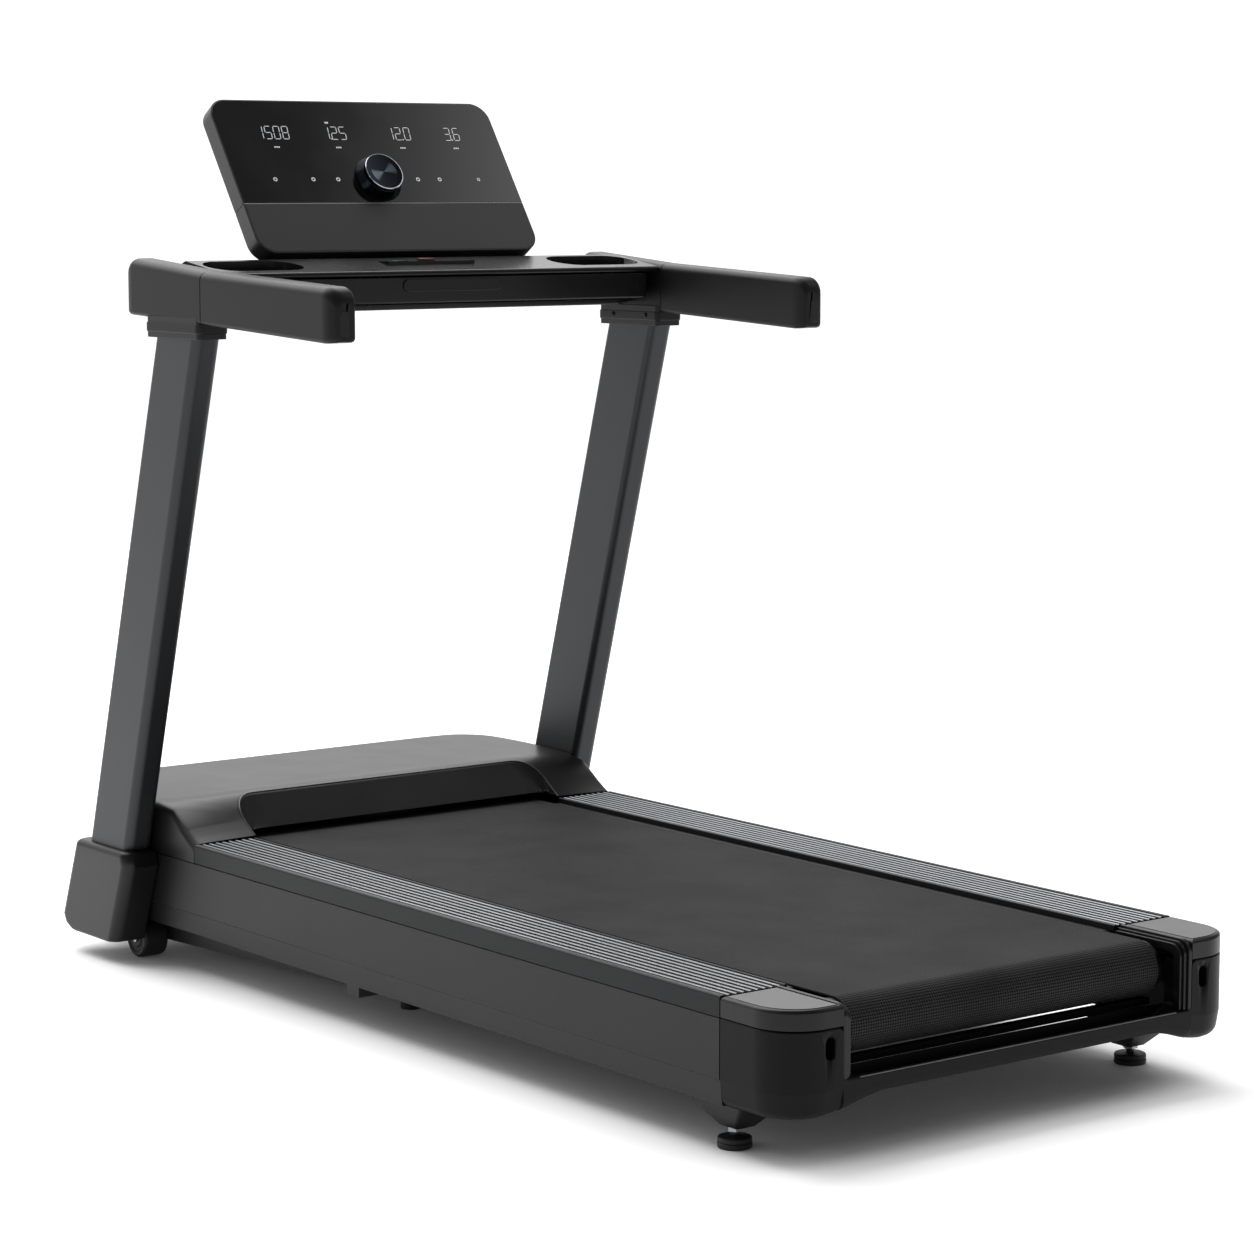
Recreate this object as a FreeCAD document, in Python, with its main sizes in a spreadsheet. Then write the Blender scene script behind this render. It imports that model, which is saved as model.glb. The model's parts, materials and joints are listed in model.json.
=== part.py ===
import FreeCAD, Part
import math
import os
import Sketcher
from FreeCAD import Placement, Rotation, Vector

# Folding home treadmill. +Y points from the step-on end to the console, +X to the runner's right,
# +Z up. The origin is on the floor under the middle of the whole machine. Lengths in millimetres.

doc = FreeCAD.newDocument("treadmill")
sheet = doc.addObject("Spreadsheet::Sheet", "dims")
parts = {}


class Size:
    """A length, angle or place: its value now, and the sheet expression that gives it."""

    def __init__(self, text, value):
        self.text, self.value = text, float(value)

    def __add__(self, other):
        other = size_of(other)
        return Size("(%s + %s)" % (self.text, other.text), self.value + other.value)

    def __sub__(self, other):
        other = size_of(other)
        return Size("(%s - %s)" % (self.text, other.text), self.value - other.value)

    def __mul__(self, other):
        other = size_of(other)
        return Size("(%s * %s)" % (self.text, other.text), self.value * other.value)

    def __truediv__(self, other):
        other = size_of(other)
        return Size("(%s / %s)" % (self.text, other.text), self.value / other.value)

    def __radd__(self, other):
        return size_of(other) + self

    def __rsub__(self, other):
        return size_of(other) - self

    def __rmul__(self, other):
        return size_of(other) * self

    def __neg__(self):
        return self * -1


def size_of(number):
    """Plain numbers join sizes as they are."""
    return number if isinstance(number, Size) else Size("(%.8g)" % number, number)


def sine(angle):
    return Size("sin(%s)" % angle.text, math.sin(math.radians(angle.value)))


def cosine(angle):
    return Size("cos(%s)" % angle.text, math.cos(math.radians(angle.value)))


row_number = 0


def dim(alias, value, note):
    """Writes one driving dimension on its own row of the sheet."""
    global row_number
    row_number += 1
    sheet.set("A%d" % row_number, note)
    sheet.set("B%d" % row_number, str(value))
    sheet.setAlias("B%d" % row_number, alias)
    return Size("dims." + alias, value)


# ---------------------------------------------------------------- driving dimensions
overall_length = dim("overall_length", 1660, "rear face of the end caps to the front of the hood")
deck_width = dim("deck_width", 750, "outside of one side skirt to the other")
deck_height = dim("deck_height", 193, "floor to the top of the foot rails")
deck_clearance = dim("deck_clearance", 60, "floor to the underside of the skirts")
seam_height = dim("seam_height", 166.5, "floor to the joint of rail and skirt")
play = dim("play", 0.3, "gap between pieces that move past each other")
running_fit = dim("running_fit", 0.05, "radial clearance of a shaft in its hole")

rail_width = dim("rail_width", 102.5, "width of one foot rail")
rail_wall = dim("rail_wall", 2.5, "wall of the rail extrusion")
rib_height = dim("rib_height", 1.6, "height of the grip ribs on a rail")
rib_pitch = dim("rib_pitch", 11, "spacing of the grip ribs")
rib_width = dim("rib_width", 5, "width of one grip rib")
skirt_wall = dim("skirt_wall", 2.5, "wall of the side skirt")
skirt_crease = dim("skirt_crease", 93, "height where the skirt starts to lean in")
skirt_lean = dim("skirt_lean", 5, "how far the skirt leans in at its foot")

cap_length = dim("cap_length", 121, "length of the rear end caps")
cap_corner = dim("cap_corner", 60, "plan radius of the rear corners")
cap_wall = dim("cap_wall", 3, "wall of the end caps and fascia")
cap_band = dim("cap_band", 17, "width of the band that the cap sends down beside the roller")
cap_band_depth = dim("cap_band_depth", 42, "depth of that band")
sill_top = dim("sill_top", 103.5, "height of the rear crossbar's top")
sill_height = dim("sill_height", 21.5, "height of the rear crossbar")
sill_depth = dim("sill_depth", 53, "depth of the rear crossbar")
slot_width = dim("slot_width", 17, "width of the belt adjuster slot")
slot_height = dim("slot_height", 30, "height of the belt adjuster slot")
slot_place = dim("slot_place", 144, "height of the slot's middle")
bolt_set = dim("bolt_set", 66, "adjuster bolt from the outside of the skirt")
bolt_radius = dim("bolt_radius", 3, "radius of an adjuster bolt's shank")

belt_margin = dim("belt_margin", 17.5, "running belt's edge from the foot rail")
belt_thickness = dim("belt_thickness", 2.3, "thickness of the running belt")
belt_top = dim("belt_top", 187.8, "height of the belt's running surface")
roller_radius = dim("roller_radius", 32.2, "radius of both rollers")
roller_wall = dim("roller_wall", 3, "wall of the roller tubes")
roller_overhang = dim("roller_overhang", 7, "roller tube past the belt on each side")
axle_radius = dim("axle_radius", 8.5, "radius of the fixed roller axles")
rear_roller_set = dim("rear_roller_set", 60, "rear roller axis from the rear face")
front_roller_set = dim("front_roller_set", 295, "front roller axis behind the front of the hood")
board_thickness = dim("board_thickness", 18, "running board")
board_under = dim("board_under", 17.5, "reach of the board under a foot rail")
board_gap = dim("board_gap", 12, "board's front end to the front roller")
cushion_height = dim("cushion_height", 10, "rubber cushion under the board")
cushion_radius = dim("cushion_radius", 15, "radius of a cushion")

beam_inset = dim("beam_inset", 72, "inside of a deck beam from the outside of the skirt")
beam_width = dim("beam_width", 44, "width of a deck beam")
beam_lift = dim("beam_lift", 25, "underside of a deck beam above the skirts' underside")
beam_wall = dim("beam_wall", 2.5, "wall of the deck beams")
beam_share = dim("beam_share", 3, "times the deck beams' set-back goes into the rear corner radius")
tie_depth = dim("tie_depth", 40, "depth of a deck crossmember")
return_gap = dim("return_gap", 8.7, "deck crossmembers above the belt's lower run")

hood_length = dim("hood_length", 348, "hood from its rear edge to its front")
hood_top = dim("hood_top", 248, "height of the hood's front edge")
hood_wall = dim("hood_wall", 3, "wall of the hood")
hood_round = dim("hood_round", 22, "radius along the hood's side edges")
hood_mouth = dim("hood_mouth", 12, "gap over the belt under the hood")
hood_lip = dim("hood_lip", 66, "height of the lower edge of the hood's front")

lean = dim("lean", 16.13, "backward lean of the uprights, degrees")
post_setback = dim("post_setback", 68.2, "uprights' front edge at the floor behind the hood front")
post_gap = dim("post_gap", 1.7, "inside face of an upright from the skirt")
post_width = dim("post_width", 41.9, "width of an upright")
post_depth = dim("post_depth", 114, "depth of an upright, measured level")
post_wall = dim("post_wall", 2.5, "wall of the uprights")
post_round = dim("post_round", 10, "edge radius of the uprights")
post_foot = dim("post_foot", 36, "height of the uprights' lower ends")
boot_reach = dim("boot_reach", 55, "outside of a boot from the skirt")
boot_wall = dim("boot_wall", 3, "wall of a boot")
boot_top = dim("boot_top", 172, "height of a boot's top")
boot_bottom = dim("boot_bottom", 32, "height of a boot's lower edge")

base_bottom = dim("base_bottom", 22, "underside of the base tubes")
base_tube = dim("base_tube", 30, "height of the base tubes")
base_tube_width = dim("base_tube_width", 40, "width of the base side tubes")
base_reach = dim("base_reach", 705, "base frame from the hood front to its rear end")
base_front_set = dim("base_front_set", 87, "front base tube behind the hood front")
base_front_depth = dim("base_front_depth", 60, "depth of the front base tube")
wheel_radius = dim("wheel_radius", 28, "transport wheel radius")
wheel_width = dim("wheel_width", 40, "transport wheel width")
wheel_axle = dim("wheel_axle", 5, "transport wheel axle radius")
wheel_set = dim("wheel_set", 176, "transport wheel axis behind the hood front")
fold_set = dim("fold_set", 60, "fold pivot behind the hood front")
fold_height = dim("fold_height", 110, "height of the fold pivot")
fold_pin = dim("fold_pin", 6, "radius of the fold pins")

arm_height = dim("arm_height", 943, "floor to the underside of the arms at the uprights")
arm_width = dim("arm_width", 42.8, "width of an arm")
arm_set = dim("arm_set", 2.2, "inside face of an arm from the inside face of its upright")
arm_deep = dim("arm_deep", 81, "height of an arm at its front")
arm_slim = dim("arm_slim", 73, "height of an arm at the grip")
arm_ahead = dim("arm_ahead", 83.7, "front of the arms ahead of the uprights")
grip_seam = dim("grip_seam", 125, "grip joint behind the uprights' front edge")
grip_length = dim("grip_length", 329.5, "length of a grip")
grip_drop = dim("grip_drop", 15, "how far the grip falls to its end")
collar_height = dim("collar_height", 18, "height of a collar under an arm")
collar_margin = dim("collar_margin", 5, "collar outside the upright")

tray_wall = dim("tray_wall", 3, "wall of the tray mouldings")
tray_face = dim("tray_face", 46, "height of the tray's rear face")
tray_lift = dim("tray_lift", 18, "underside of the tray above the arms' underside")
tray_lip = dim("tray_lip", 9, "depth of the lower cover under the tray")
tray_rise = dim("tray_rise", 17, "rise of the tray's top towards the console")
well_radius = dim("well_radius", 38, "end radius of a storage well")
well_half = dim("well_half", 38, "half the straight run of a storage well")
well_depth = dim("well_depth", 24, "depth of a storage well")
well_place = dim("well_place", 297, "storage well from the centre line")

console_tilt = dim("console_tilt", 33.9, "console face from the vertical, degrees")
console_width = dim("console_width", 493, "width of the console")
console_thickness = dim("console_thickness", 30, "thickness of the console")
console_ahead = dim("console_ahead", 44.7, "panel joint ahead of the uprights' front edge")
console_rise = dim("console_rise", 159.7, "panel joint above the arms' underside")
glass_height = dim("glass_height", 181, "display glass up the face")
panel_height = dim("panel_height", 84, "lower panel down the face")
console_corner = dim("console_corner", 30, "corner radius of the console")
console_wall = dim("console_wall", 3, "wall of the console shell")
knob_radius = dim("knob_radius", 31, "radius of the dial's cap")
knob_skirt = dim("knob_skirt", 38, "radius of the dial's foot")
knob_height = dim("knob_height", 21, "dial out of the glass")
knob_place = dim("knob_place", 42, "dial above the panel joint")

foot_set = dim("foot_set", 146, "levelling foot from the rear face")
foot_inset = dim("foot_inset", 44, "levelling foot from the outside of the skirt")
foot_radius = dim("foot_radius", 21, "radius of a levelling pad")
foot_pad = dim("foot_pad", 14, "height of a levelling pad")
stud_radius = dim("stud_radius", 5, "radius of a levelling stud")

motor_set = dim("motor_set", 160, "motor axis behind the hood front")
motor_height = dim("motor_height", 130, "height of the motor axis")
motor_radius = dim("motor_radius", 46, "radius of the motor")
motor_length = dim("motor_length", 180, "length of the motor")
motor_pulley_radius = dim("motor_pulley_radius", 16, "radius of the motor pulley")
pulley_step = dim("pulley_step", 7.8, "front roller's pulley larger in radius than the roller")
drive_width = dim("drive_width", 18, "width of the ribbed drive belt")
drive_thickness = dim("drive_thickness", 3, "thickness of the drive belt")

strut_set = dim("strut_set", 690, "strut's base pivot behind the hood front")
strut_height = dim("strut_height", 66, "height of the strut's base pivot")
strut_reach = dim("strut_reach", 375, "strut's deck pivot ahead of its base pivot")
strut_rise = dim("strut_rise", 18, "strut's deck pivot above its base pivot")
strut_radius = dim("strut_radius", 12, "radius of the strut's cylinder")
strut_rod_radius = dim("strut_rod_radius", 5, "radius of the strut's rod")
doc.recompute()

# ---------------------------------------------------------------- places worked out from them
rear = -overall_length / 2
front = overall_length / 2
deck_half = deck_width / 2
rail_inner = deck_half - rail_width
board_half = rail_inner + board_under
belt_width = (rail_inner - belt_margin) * 2
bolt_offset = deck_half - bolt_set
beam_inner = deck_half - beam_inset
post_inner = deck_half + post_gap
boot_outer = deck_half + boot_reach
arm_inner = post_inner + arm_set
foot_offset = deck_half - foot_inset
hood_rear = front - hood_length
roller_height = belt_top - belt_thickness - play - roller_radius
belt_wrap = roller_radius + play
rear_roller_y = rear + rear_roller_set
front_roller_y = front - front_roller_set
board_top = belt_top - belt_thickness - play
board_low = board_top - board_thickness
tie_top = board_low - cushion_height
return_low = roller_height - belt_wrap - belt_thickness
tie_low = return_low + belt_thickness + return_gap
drive_pulley_radius = roller_radius + pulley_step
beam_set = cap_corner / beam_share
beam_outer = beam_inner + beam_width
beam_top = seam_height - 1.5
beam_low = deck_clearance + beam_lift
beam_height = beam_top - beam_low
fold_y = front - fold_set
wheel_y = front - wheel_set
slope = sine(lean) / cosine(lean)
head_y = front - post_setback - slope * arm_height


def post_front(height):
    """Front edge of the leaning uprights at a height."""
    return front - post_setback - slope * height


# ---------------------------------------------------------------- ways of making a piece
def bind(thing, **expressions):
    """Ties properties to the sheet; __ stands for a dot."""
    for prop, expression in expressions.items():
        thing.setExpression(prop.replace("__", "."), size_of(expression).text)


def block(name, x, y, z):
    """A box between two places along each axis."""
    box = doc.addObject("Part::Box", name)
    bind(box, Length=x[1] - x[0], Width=y[1] - y[0], Height=z[1] - z[0])
    bind(box, Placement__Base__x=x[0], Placement__Base__y=y[0], Placement__Base__z=z[0])
    return box


TURNS = {"x": Rotation(Vector(0, 1, 0), 90), "y": Rotation(Vector(1, 0, 0), -90), "z": Rotation()}


def rod(name, axis, radius, x, y, z):
    """A round bar; the place along its axis is a (start, end) pair."""
    bar = doc.addObject("Part::Cylinder", name)
    ends = {"x": x, "y": y, "z": z}
    bar.Placement = Placement(Vector(), TURNS[axis])
    bind(bar, Radius=radius, Height=size_of(ends[axis][1]) - ends[axis][0])
    for side, place in ends.items():
        bar.setExpression("Placement.Base." + side, size_of(place[0] if side == axis else place).text)
    return bar


def cut(name, base, *tools):
    """One solid with other solids taken out of it."""
    result = doc.addObject("Part::Cut", name)
    result.Base = base
    result.Tool = tools[0] if len(tools) == 1 else fuse(name + "_tools", *tools)
    return result


def fuse(name, *pieces):
    """Solids welded or moulded into one."""
    result = doc.addObject("Part::MultiFuse", name)
    result.Shapes = list(pieces)
    return result


def group(name, pieces):
    """Like pieces that stay separate solids in one node."""
    result = doc.addObject("Part::Compound", name)
    result.Links = list(pieces)
    return result


def node(name, piece):
    """Names the finished piece after its node."""
    piece.Label = name
    parts[name] = piece
    return piece


PLANES = {"xy": "XY_Plane", "yz": "YZ_Plane", "xz": "XZ_Plane"}
NORMALS = {"xy": "z", "yz": "x", "xz": "y"}


def profile(name, plane, points, span):
    """A body padded from a fully tied outline, between two places along the plane's normal."""
    body = doc.addObject("PartDesign::Body", name)
    sketch = body.newObject("Sketcher::SketchObject", name + "_outline")
    origin_plane = [item for item in body.Origin.OriginFeatures if item.Role == PLANES[plane]][0]
    sketch.AttachmentSupport = [(origin_plane, "")]
    sketch.MapMode = "FlatFace"
    corners = [(size_of(across), size_of(up)) for across, up in points]
    flat = [Vector(across.value, up.value, 0) for across, up in corners]
    count = len(flat)
    for index in range(count):
        sketch.addGeometry(Part.LineSegment(flat[index], flat[(index + 1) % count]), False)
    for index in range(count):
        sketch.addConstraint(Sketcher.Constraint("Coincident", index, 2, (index + 1) % count, 1))
    for index, corner in enumerate(corners):
        for kind, place in zip(("DistanceX", "DistanceY"), corner):
            tie = sketch.addConstraint(Sketcher.Constraint(kind, -1, 1, index, 1, place.value))
            sketch.setExpression("Constraints[%d]" % tie, place.text)
    pad = body.newObject("PartDesign::Pad", name + "_pad")
    pad.Profile = sketch
    low, high = size_of(span[0]), size_of(span[1])
    bind(pad, Length=high - low)
    along = NORMALS[plane]
    body.setExpression("Placement.Base." + along, (high if along == "y" else low).text)
    return body


def soften(body, radius, wanted):
    """Rounds those edges of a body's last feature that `wanted` picks."""
    doc.recompute()
    last = body.Tip
    names = ["Edge%d" % (index + 1) for index, edge in enumerate(last.Shape.Edges) if wanted(edge)]
    fillet = body.newObject("PartDesign::Fillet", body.Name + "_round")
    fillet.Base = (last, names)
    bind(fillet, Radius=radius)
    return body


def runs_along(edge, axis, slack=0.02):
    """True for a straight edge that runs along an axis."""
    ends = edge.Vertexes
    if len(ends) != 2 or edge.Curve.TypeId != "Part::GeomLine":
        return False
    way = ends[1].Point.sub(ends[0].Point).normalize()
    return abs(abs(getattr(way, axis)) - 1) < slack


def near(edge, **places):
    """True for an edge whose middle lies at the given places, in the body's own frame."""
    middle = edge.BoundBox.Center
    return all(abs(getattr(middle, axis) - size_of(place).value) < 0.2 for axis, place in places.items())


def pair(side, inner, outer):
    """The low and high X of something on the left (-1) or right (+1)."""
    return (size_of(inner), size_of(outer)) if side > 0 else (-size_of(outer), -size_of(inner))


HANDS = ((-1, "left"), (1, "right"))


def both(make):
    """The left and right copies of a piece."""
    return [make(side, hand) for side, hand in HANDS]


# ---------------------------------------------------------------- deck frame
def deck_beam(side, hand):
    """Rectangular steel tube, closed at the rear, drilled for the axles and the fold pin."""
    ends = (rear + beam_set, front - beam_set)
    outer = block("beam_" + hand, pair(side, beam_inner, beam_outer), ends, (beam_low, beam_top))
    hollow = block("beam_hollow_" + hand, pair(side, beam_inner + beam_wall, beam_outer - beam_wall),
                   (ends[0] + beam_wall, ends[1] + 1), (beam_low + beam_wall, beam_top - beam_wall))
    through = pair(side, beam_inner - 1, beam_outer + 1)
    holes = [rod("beam_axle_hole_" + hand + str(index), "x", axle_radius + running_fit, through, y,
                 roller_height)
             for index, y in enumerate((rear_roller_y, front_roller_y))]
    pin_hole = rod("beam_pin_hole_" + hand, "x", fold_pin + running_fit, through, fold_y, fold_height)
    bolt_hole = rod("beam_bolt_hole_" + hand, "y", bolt_radius + running_fit, side * bolt_offset,
                    (ends[0] - 1, ends[0] + beam_wall + 1), roller_height)
    foot_hole = rod("beam_foot_hole_" + hand, "z", stud_radius + running_fit, side * foot_offset,
                    rear + foot_set, (beam_low - 1, beam_low + beam_wall + 1))
    return cut("beam_tube_" + hand, outer, hollow, *holes, pin_hole, bolt_hole, foot_hole)


node("deck_beams", group("beams", both(deck_beam)))


def crossmember(index, middle, top):
    """Square tube welded between the beams."""
    return block("tie_%d" % index, (-beam_inner, beam_inner),
                 (middle - tie_depth / 2, middle + tie_depth / 2),
                 (tie_low, top))


tie_count = 4
tie_start = rear + foot_set + 60
tie_step = (front_roller_y - 120 - tie_start) / (tie_count - 1)
ties = [tie_start + tie_step * index for index in range(tie_count)]
node("deck_crossmembers", group("crossmembers", [crossmember(i, y, tie_top) for i, y in enumerate(ties)]))

strut_y = front - strut_set
clevis_y = strut_y + strut_reach
clevis_z = strut_height + strut_rise
clevis_ear = 4
clevis_gap = 8
low_tie_top = return_low - 4
low_tie = block("low_tie", (-beam_inner, beam_inner), (clevis_y - 60, clevis_y - 28),
                (low_tie_top - 24, low_tie_top))
ears = [block("clevis_ear_%d" % (side + 1), pair(side, clevis_gap, clevis_gap + clevis_ear),
              (clevis_y - 28, clevis_y + 14), (clevis_z - 12, low_tie_top)) for side in (-1, 1)]
ear_holes = rod("clevis_hole", "x", 5, (-20, 20), clevis_y, clevis_z)
node("strut_crossmember", cut("strut_crossmember_drilled", fuse("strut_crossmember_weld", low_tie, *ears),
                              ear_holes))

board_ends = (rear + cap_length + 2, front_roller_y - roller_radius - board_gap)
board = profile("board", "yz", [
    (board_ends[0], board_low), (board_ends[1], board_low), (board_ends[1], board_top - 4),
    (board_ends[1] - 10, board_top), (board_ends[0] + 10, board_top), (board_ends[0], board_top - 4)],
    (-board_half, board_half))
node("running_board", board)

cushions = [rod("cushion_%d%s" % (index, hand), "z", cushion_radius, side * (board_half - 40), y,
                (tie_top, board_low)) for index, y in enumerate(ties) for side, hand in HANDS]
node("board_cushions", group("cushions", cushions))


# ---------------------------------------------------------------- belt and rollers
def band(name, x, first, second, thickness):
    """A closed belt of constant thickness round two circles, each given as (y, z, radius)."""
    def loop(extra):
        """The outline round both circles, each widened by `extra`."""
        y1, z1, r1 = first[0].value, first[1].value, first[2].value + extra
        y2, z2, r2 = second[0].value, second[1].value, second[2].value + extra
        way = math.atan2(z2 - z1, y2 - y1)
        spread = math.acos((r1 - r2) / math.hypot(y2 - y1, z2 - z1))
        def at(y, z, r, angle):
            return Vector(x[0].value, y + r * math.cos(angle), z + r * math.sin(angle))
        a, b = at(y1, z1, r1, way + spread), at(y2, z2, r2, way + spread)
        c, d = at(y2, z2, r2, way - spread), at(y1, z1, r1, way - spread)
        edges = [Part.LineSegment(a, b), Part.Arc(b, at(y2, z2, r2, way), c), Part.LineSegment(c, d),
                 Part.Arc(d, at(y1, z1, r1, way + math.pi), a)]
        return Part.Face(Part.Wire([edge.toShape() for edge in edges]))
    shape = loop(thickness.value).cut(loop(0)).extrude(Vector(x[1].value - x[0].value, 0, 0))
    belt = doc.addObject("Part::Feature", name)
    belt.Shape = shape.Solids[0]
    return belt


node("running_belt", band("belt", (-belt_width / 2, belt_width / 2),
                          (rear_roller_y, roller_height, belt_wrap),
                          (front_roller_y, roller_height, belt_wrap), belt_thickness))

roller_half = belt_width / 2 + roller_overhang


def roller(name, y):
    """Steel tube with a bearing plug in each end, turning on a fixed axle."""
    tube = rod(name + "_tube", "x", roller_radius, (-roller_half, roller_half), y, roller_height)
    bore = rod(name + "_inside", "x", roller_radius - roller_wall, (-roller_half + 22, roller_half - 22),
               y, roller_height)
    hole = rod(name + "_hole", "x", axle_radius + running_fit, (-roller_half - 1, roller_half + 1), y,
               roller_height)
    return cut(name + "_turned", tube, bore, hole)


node("rear_roller", roller("rear_drum", rear_roller_y))
pulley_x = (-(roller_half + 2 + drive_width), -(roller_half + 2))
front_drum = roller("front_drum", front_roller_y)
pulley = rod("roller_pulley", "x", drive_pulley_radius, (pulley_x[0], -roller_half), front_roller_y,
             roller_height)
pulley_hole = rod("roller_pulley_hole", "x", axle_radius + running_fit, (pulley_x[0] - 1, -roller_half + 1),
                  front_roller_y, roller_height)
node("front_roller", fuse("front_roller_built", front_drum, cut("roller_pulley_bored", pulley, pulley_hole)))
node("roller_axles", group("axles", [
    rod("axle_%d" % index, "x", axle_radius, (-(beam_outer - 6), beam_outer - 6), y, roller_height)
    for index, y in enumerate((rear_roller_y, front_roller_y))]))


def adjuster(side, hand):
    """Hexagon-socket bolt that pulls the rear axle back to tension the belt."""
    seat = rear + beam_set
    head = rod("adjuster_head_" + hand, "y", 6.5, side * bolt_offset, (seat - 8, seat), roller_height)
    socket = rod("adjuster_socket_" + hand, "y", 3.2, side * bolt_offset, (seat - 9, seat - 4), roller_height)
    shank = rod("adjuster_shank_" + hand, "y", bolt_radius, side * bolt_offset,
                (seat, rear_roller_y - axle_radius), roller_height)
    return fuse("adjuster_" + hand, cut("adjuster_head_cut_" + hand, head, socket), shank)


node("belt_adjuster_bolts", group("adjusters", both(adjuster)))


# ---------------------------------------------------------------- rails and skirts
def foot_rail(side, hand):
    """Ribbed extrusion that the runner steps on, with a leg that stands on the beam."""
    floor = deck_height - rib_height
    ribs = []
    first = deck_half - 8
    rib_count = 8
    for index in range(rib_count):
        outer = first - rib_pitch * index
        ribs += [(outer, floor), (outer, deck_height), (outer - rib_width, deck_height),
                 (outer - rib_width, floor)]
    leg = beam_inner + 3
    under = floor - rail_wall
    section = [(deck_half, seam_height), (deck_half, floor - 1.5), (deck_half - 1.5, floor)] + ribs + [
        (rail_inner, floor), (rail_inner, board_top), (rail_inner + rail_wall, board_top),
        (rail_inner + rail_wall, under), (leg, under), (leg, beam_top), (leg + rail_wall, beam_top),
        (leg + rail_wall, under), (deck_half - rail_wall, under), (deck_half - rail_wall, seam_height)]
    return profile("rail_" + hand, "xz", [(side * x, z) for x, z in section], (rear + cap_length, hood_rear))


def side_skirt(side, hand):
    """Folded steel side panel, leaning in below a crease."""
    foot = deck_half - skirt_lean
    section = [(deck_half, seam_height), (deck_half, skirt_crease), (foot, deck_clearance),
               (foot - 24, deck_clearance), (foot - 24, deck_clearance + skirt_wall),
               (foot - skirt_wall, deck_clearance + skirt_wall), (deck_half - skirt_wall, skirt_crease),
               (deck_half - skirt_wall, seam_height - skirt_wall), (beam_outer, seam_height - skirt_wall),
               (beam_outer, seam_height)]
    return profile("skirt_" + hand, "xz", [(side * x, z) for x, z in section], (rear + cap_length, front - 6))


node("side_rails", group("rails", both(foot_rail)))
node("side_skirts", group("skirts", both(side_skirt)))


# ---------------------------------------------------------------- rear fascia and caps
def corner_plate(name, side, inner, outer, back, radius, z):
    """Plan of a rear corner, rounded on its outer edge."""
    plan = [(side * inner, back), (side * outer, back), (side * outer, rear + cap_length + 1),
            (side * inner, rear + cap_length + 1)]
    body = profile(name, "xy", plan, z)
    return soften(body, radius, lambda edge: runs_along(edge, "z") and near(edge, x=side * outer, y=back))


band_outer = rail_inner + cap_band
sill_low = sill_top - sill_height
fascia_top = seam_height - play
fascia_half = [(deck_half, fascia_top), (deck_half, deck_clearance + 30), (deck_half - 8, deck_clearance),
               (rail_inner - 6, deck_clearance), (rail_inner - 26, sill_low)]
fascia_inside = [(rail_inner, sill_top), (band_outer, sill_top + 16), (band_outer, fascia_top)]
fascia_outline = ([(-x, z) for x, z in fascia_half] + [(x, z) for x, z in reversed(fascia_half)]
                  + [(x, z) for x, z in reversed(fascia_inside)] + [(-x, z) for x, z in fascia_inside])
fascia = profile("fascia_block", "xz", fascia_outline, (rear, rear + cap_length))
soften(fascia, cap_corner, lambda edge: runs_along(edge, "z") and near(edge, y=-cap_length)
       and abs(abs(edge.BoundBox.Center.x) - deck_half.value) < 0.2)
fascia_tools = [block("sill_back", (-rail_inner, rail_inner), (rear + sill_depth, rear + cap_length + 1),
                      (deck_clearance - 1, sill_top + 1)),
                block("sill_hollow", (-rail_inner + 20, rail_inner - 20),
                      (rear + cap_wall, rear + sill_depth - cap_wall),
                      (sill_low - 1, sill_top - cap_wall))]
for side, hand in HANDS:
    fascia_tools.append(corner_plate("fascia_hollow_" + hand, side, band_outer + cap_wall,
                                     deck_half - 8 - cap_wall, rear + cap_wall,
                                     cap_corner - cap_wall - 8,
                                     (deck_clearance + cap_wall, seam_height + 1)))
    fascia_tools.append(block("fascia_inner_way_" + hand,
                              pair(side, rail_inner - 1, band_outer + cap_wall + 1),
                              (rear + cap_band_depth, rear + cap_length + 1),
                              (sill_top + 16, seam_height + 1)))
    fascia_tools.append(block("slot_" + hand, pair(side, bolt_offset - slot_width / 2,
                                                   bolt_offset + slot_width / 2),
                              (rear - 1, rear + cap_wall + 1),
                              (slot_place - slot_height / 2 + slot_width / 2,
                               slot_place + slot_height / 2 - slot_width / 2)))
    for end, lift in (("low", -1), ("high", 1)):
        fascia_tools.append(rod("slot_%s_%s" % (end, hand), "y", slot_width / 2, side * bolt_offset,
                                (rear - 1, rear + cap_wall + 1),
                                slot_place + lift * (slot_height / 2 - slot_width / 2)))
node("rear_fascia", cut("fascia", fascia, *fascia_tools))


def end_cap(side, hand):
    """Moulded corner cover with a flat top and a band down beside the roller."""
    outer = corner_plate("cap_outer_" + hand, side, rail_inner, deck_half, rear, cap_corner,
                         (seam_height, deck_height))
    doc.recompute()
    inside = corner_plate("cap_inside_" + hand, side, rail_inner + cap_wall, deck_half - cap_wall,
                          rear + cap_wall,
                          cap_corner - cap_wall, (seam_height - 1, deck_height - cap_wall))
    trim = block("cap_trim_" + hand, pair(side, rail_inner - 5, deck_half + 5),
                 (rear + cap_length, rear + cap_length + 5), (seam_height - 1, deck_height + 1))
    strip = block("cap_band_" + hand, pair(side, rail_inner, band_outer - play),
                  (rear, rear + cap_band_depth),
                  (sill_top + 17, seam_height + 1))
    axle_way = block("cap_axle_way_" + hand, pair(side, rail_inner - 1, beam_outer),
                     (rear_roller_y - axle_radius - play, rear_roller_y + axle_radius + play),
                     (deck_clearance, roller_height + axle_radius + play))
    shell = cut("cap_shell_" + hand, outer, inside, trim, axle_way)
    return fuse("cap_" + hand, shell, strip)


node("rear_caps", group("caps", both(end_cap)))

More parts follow.
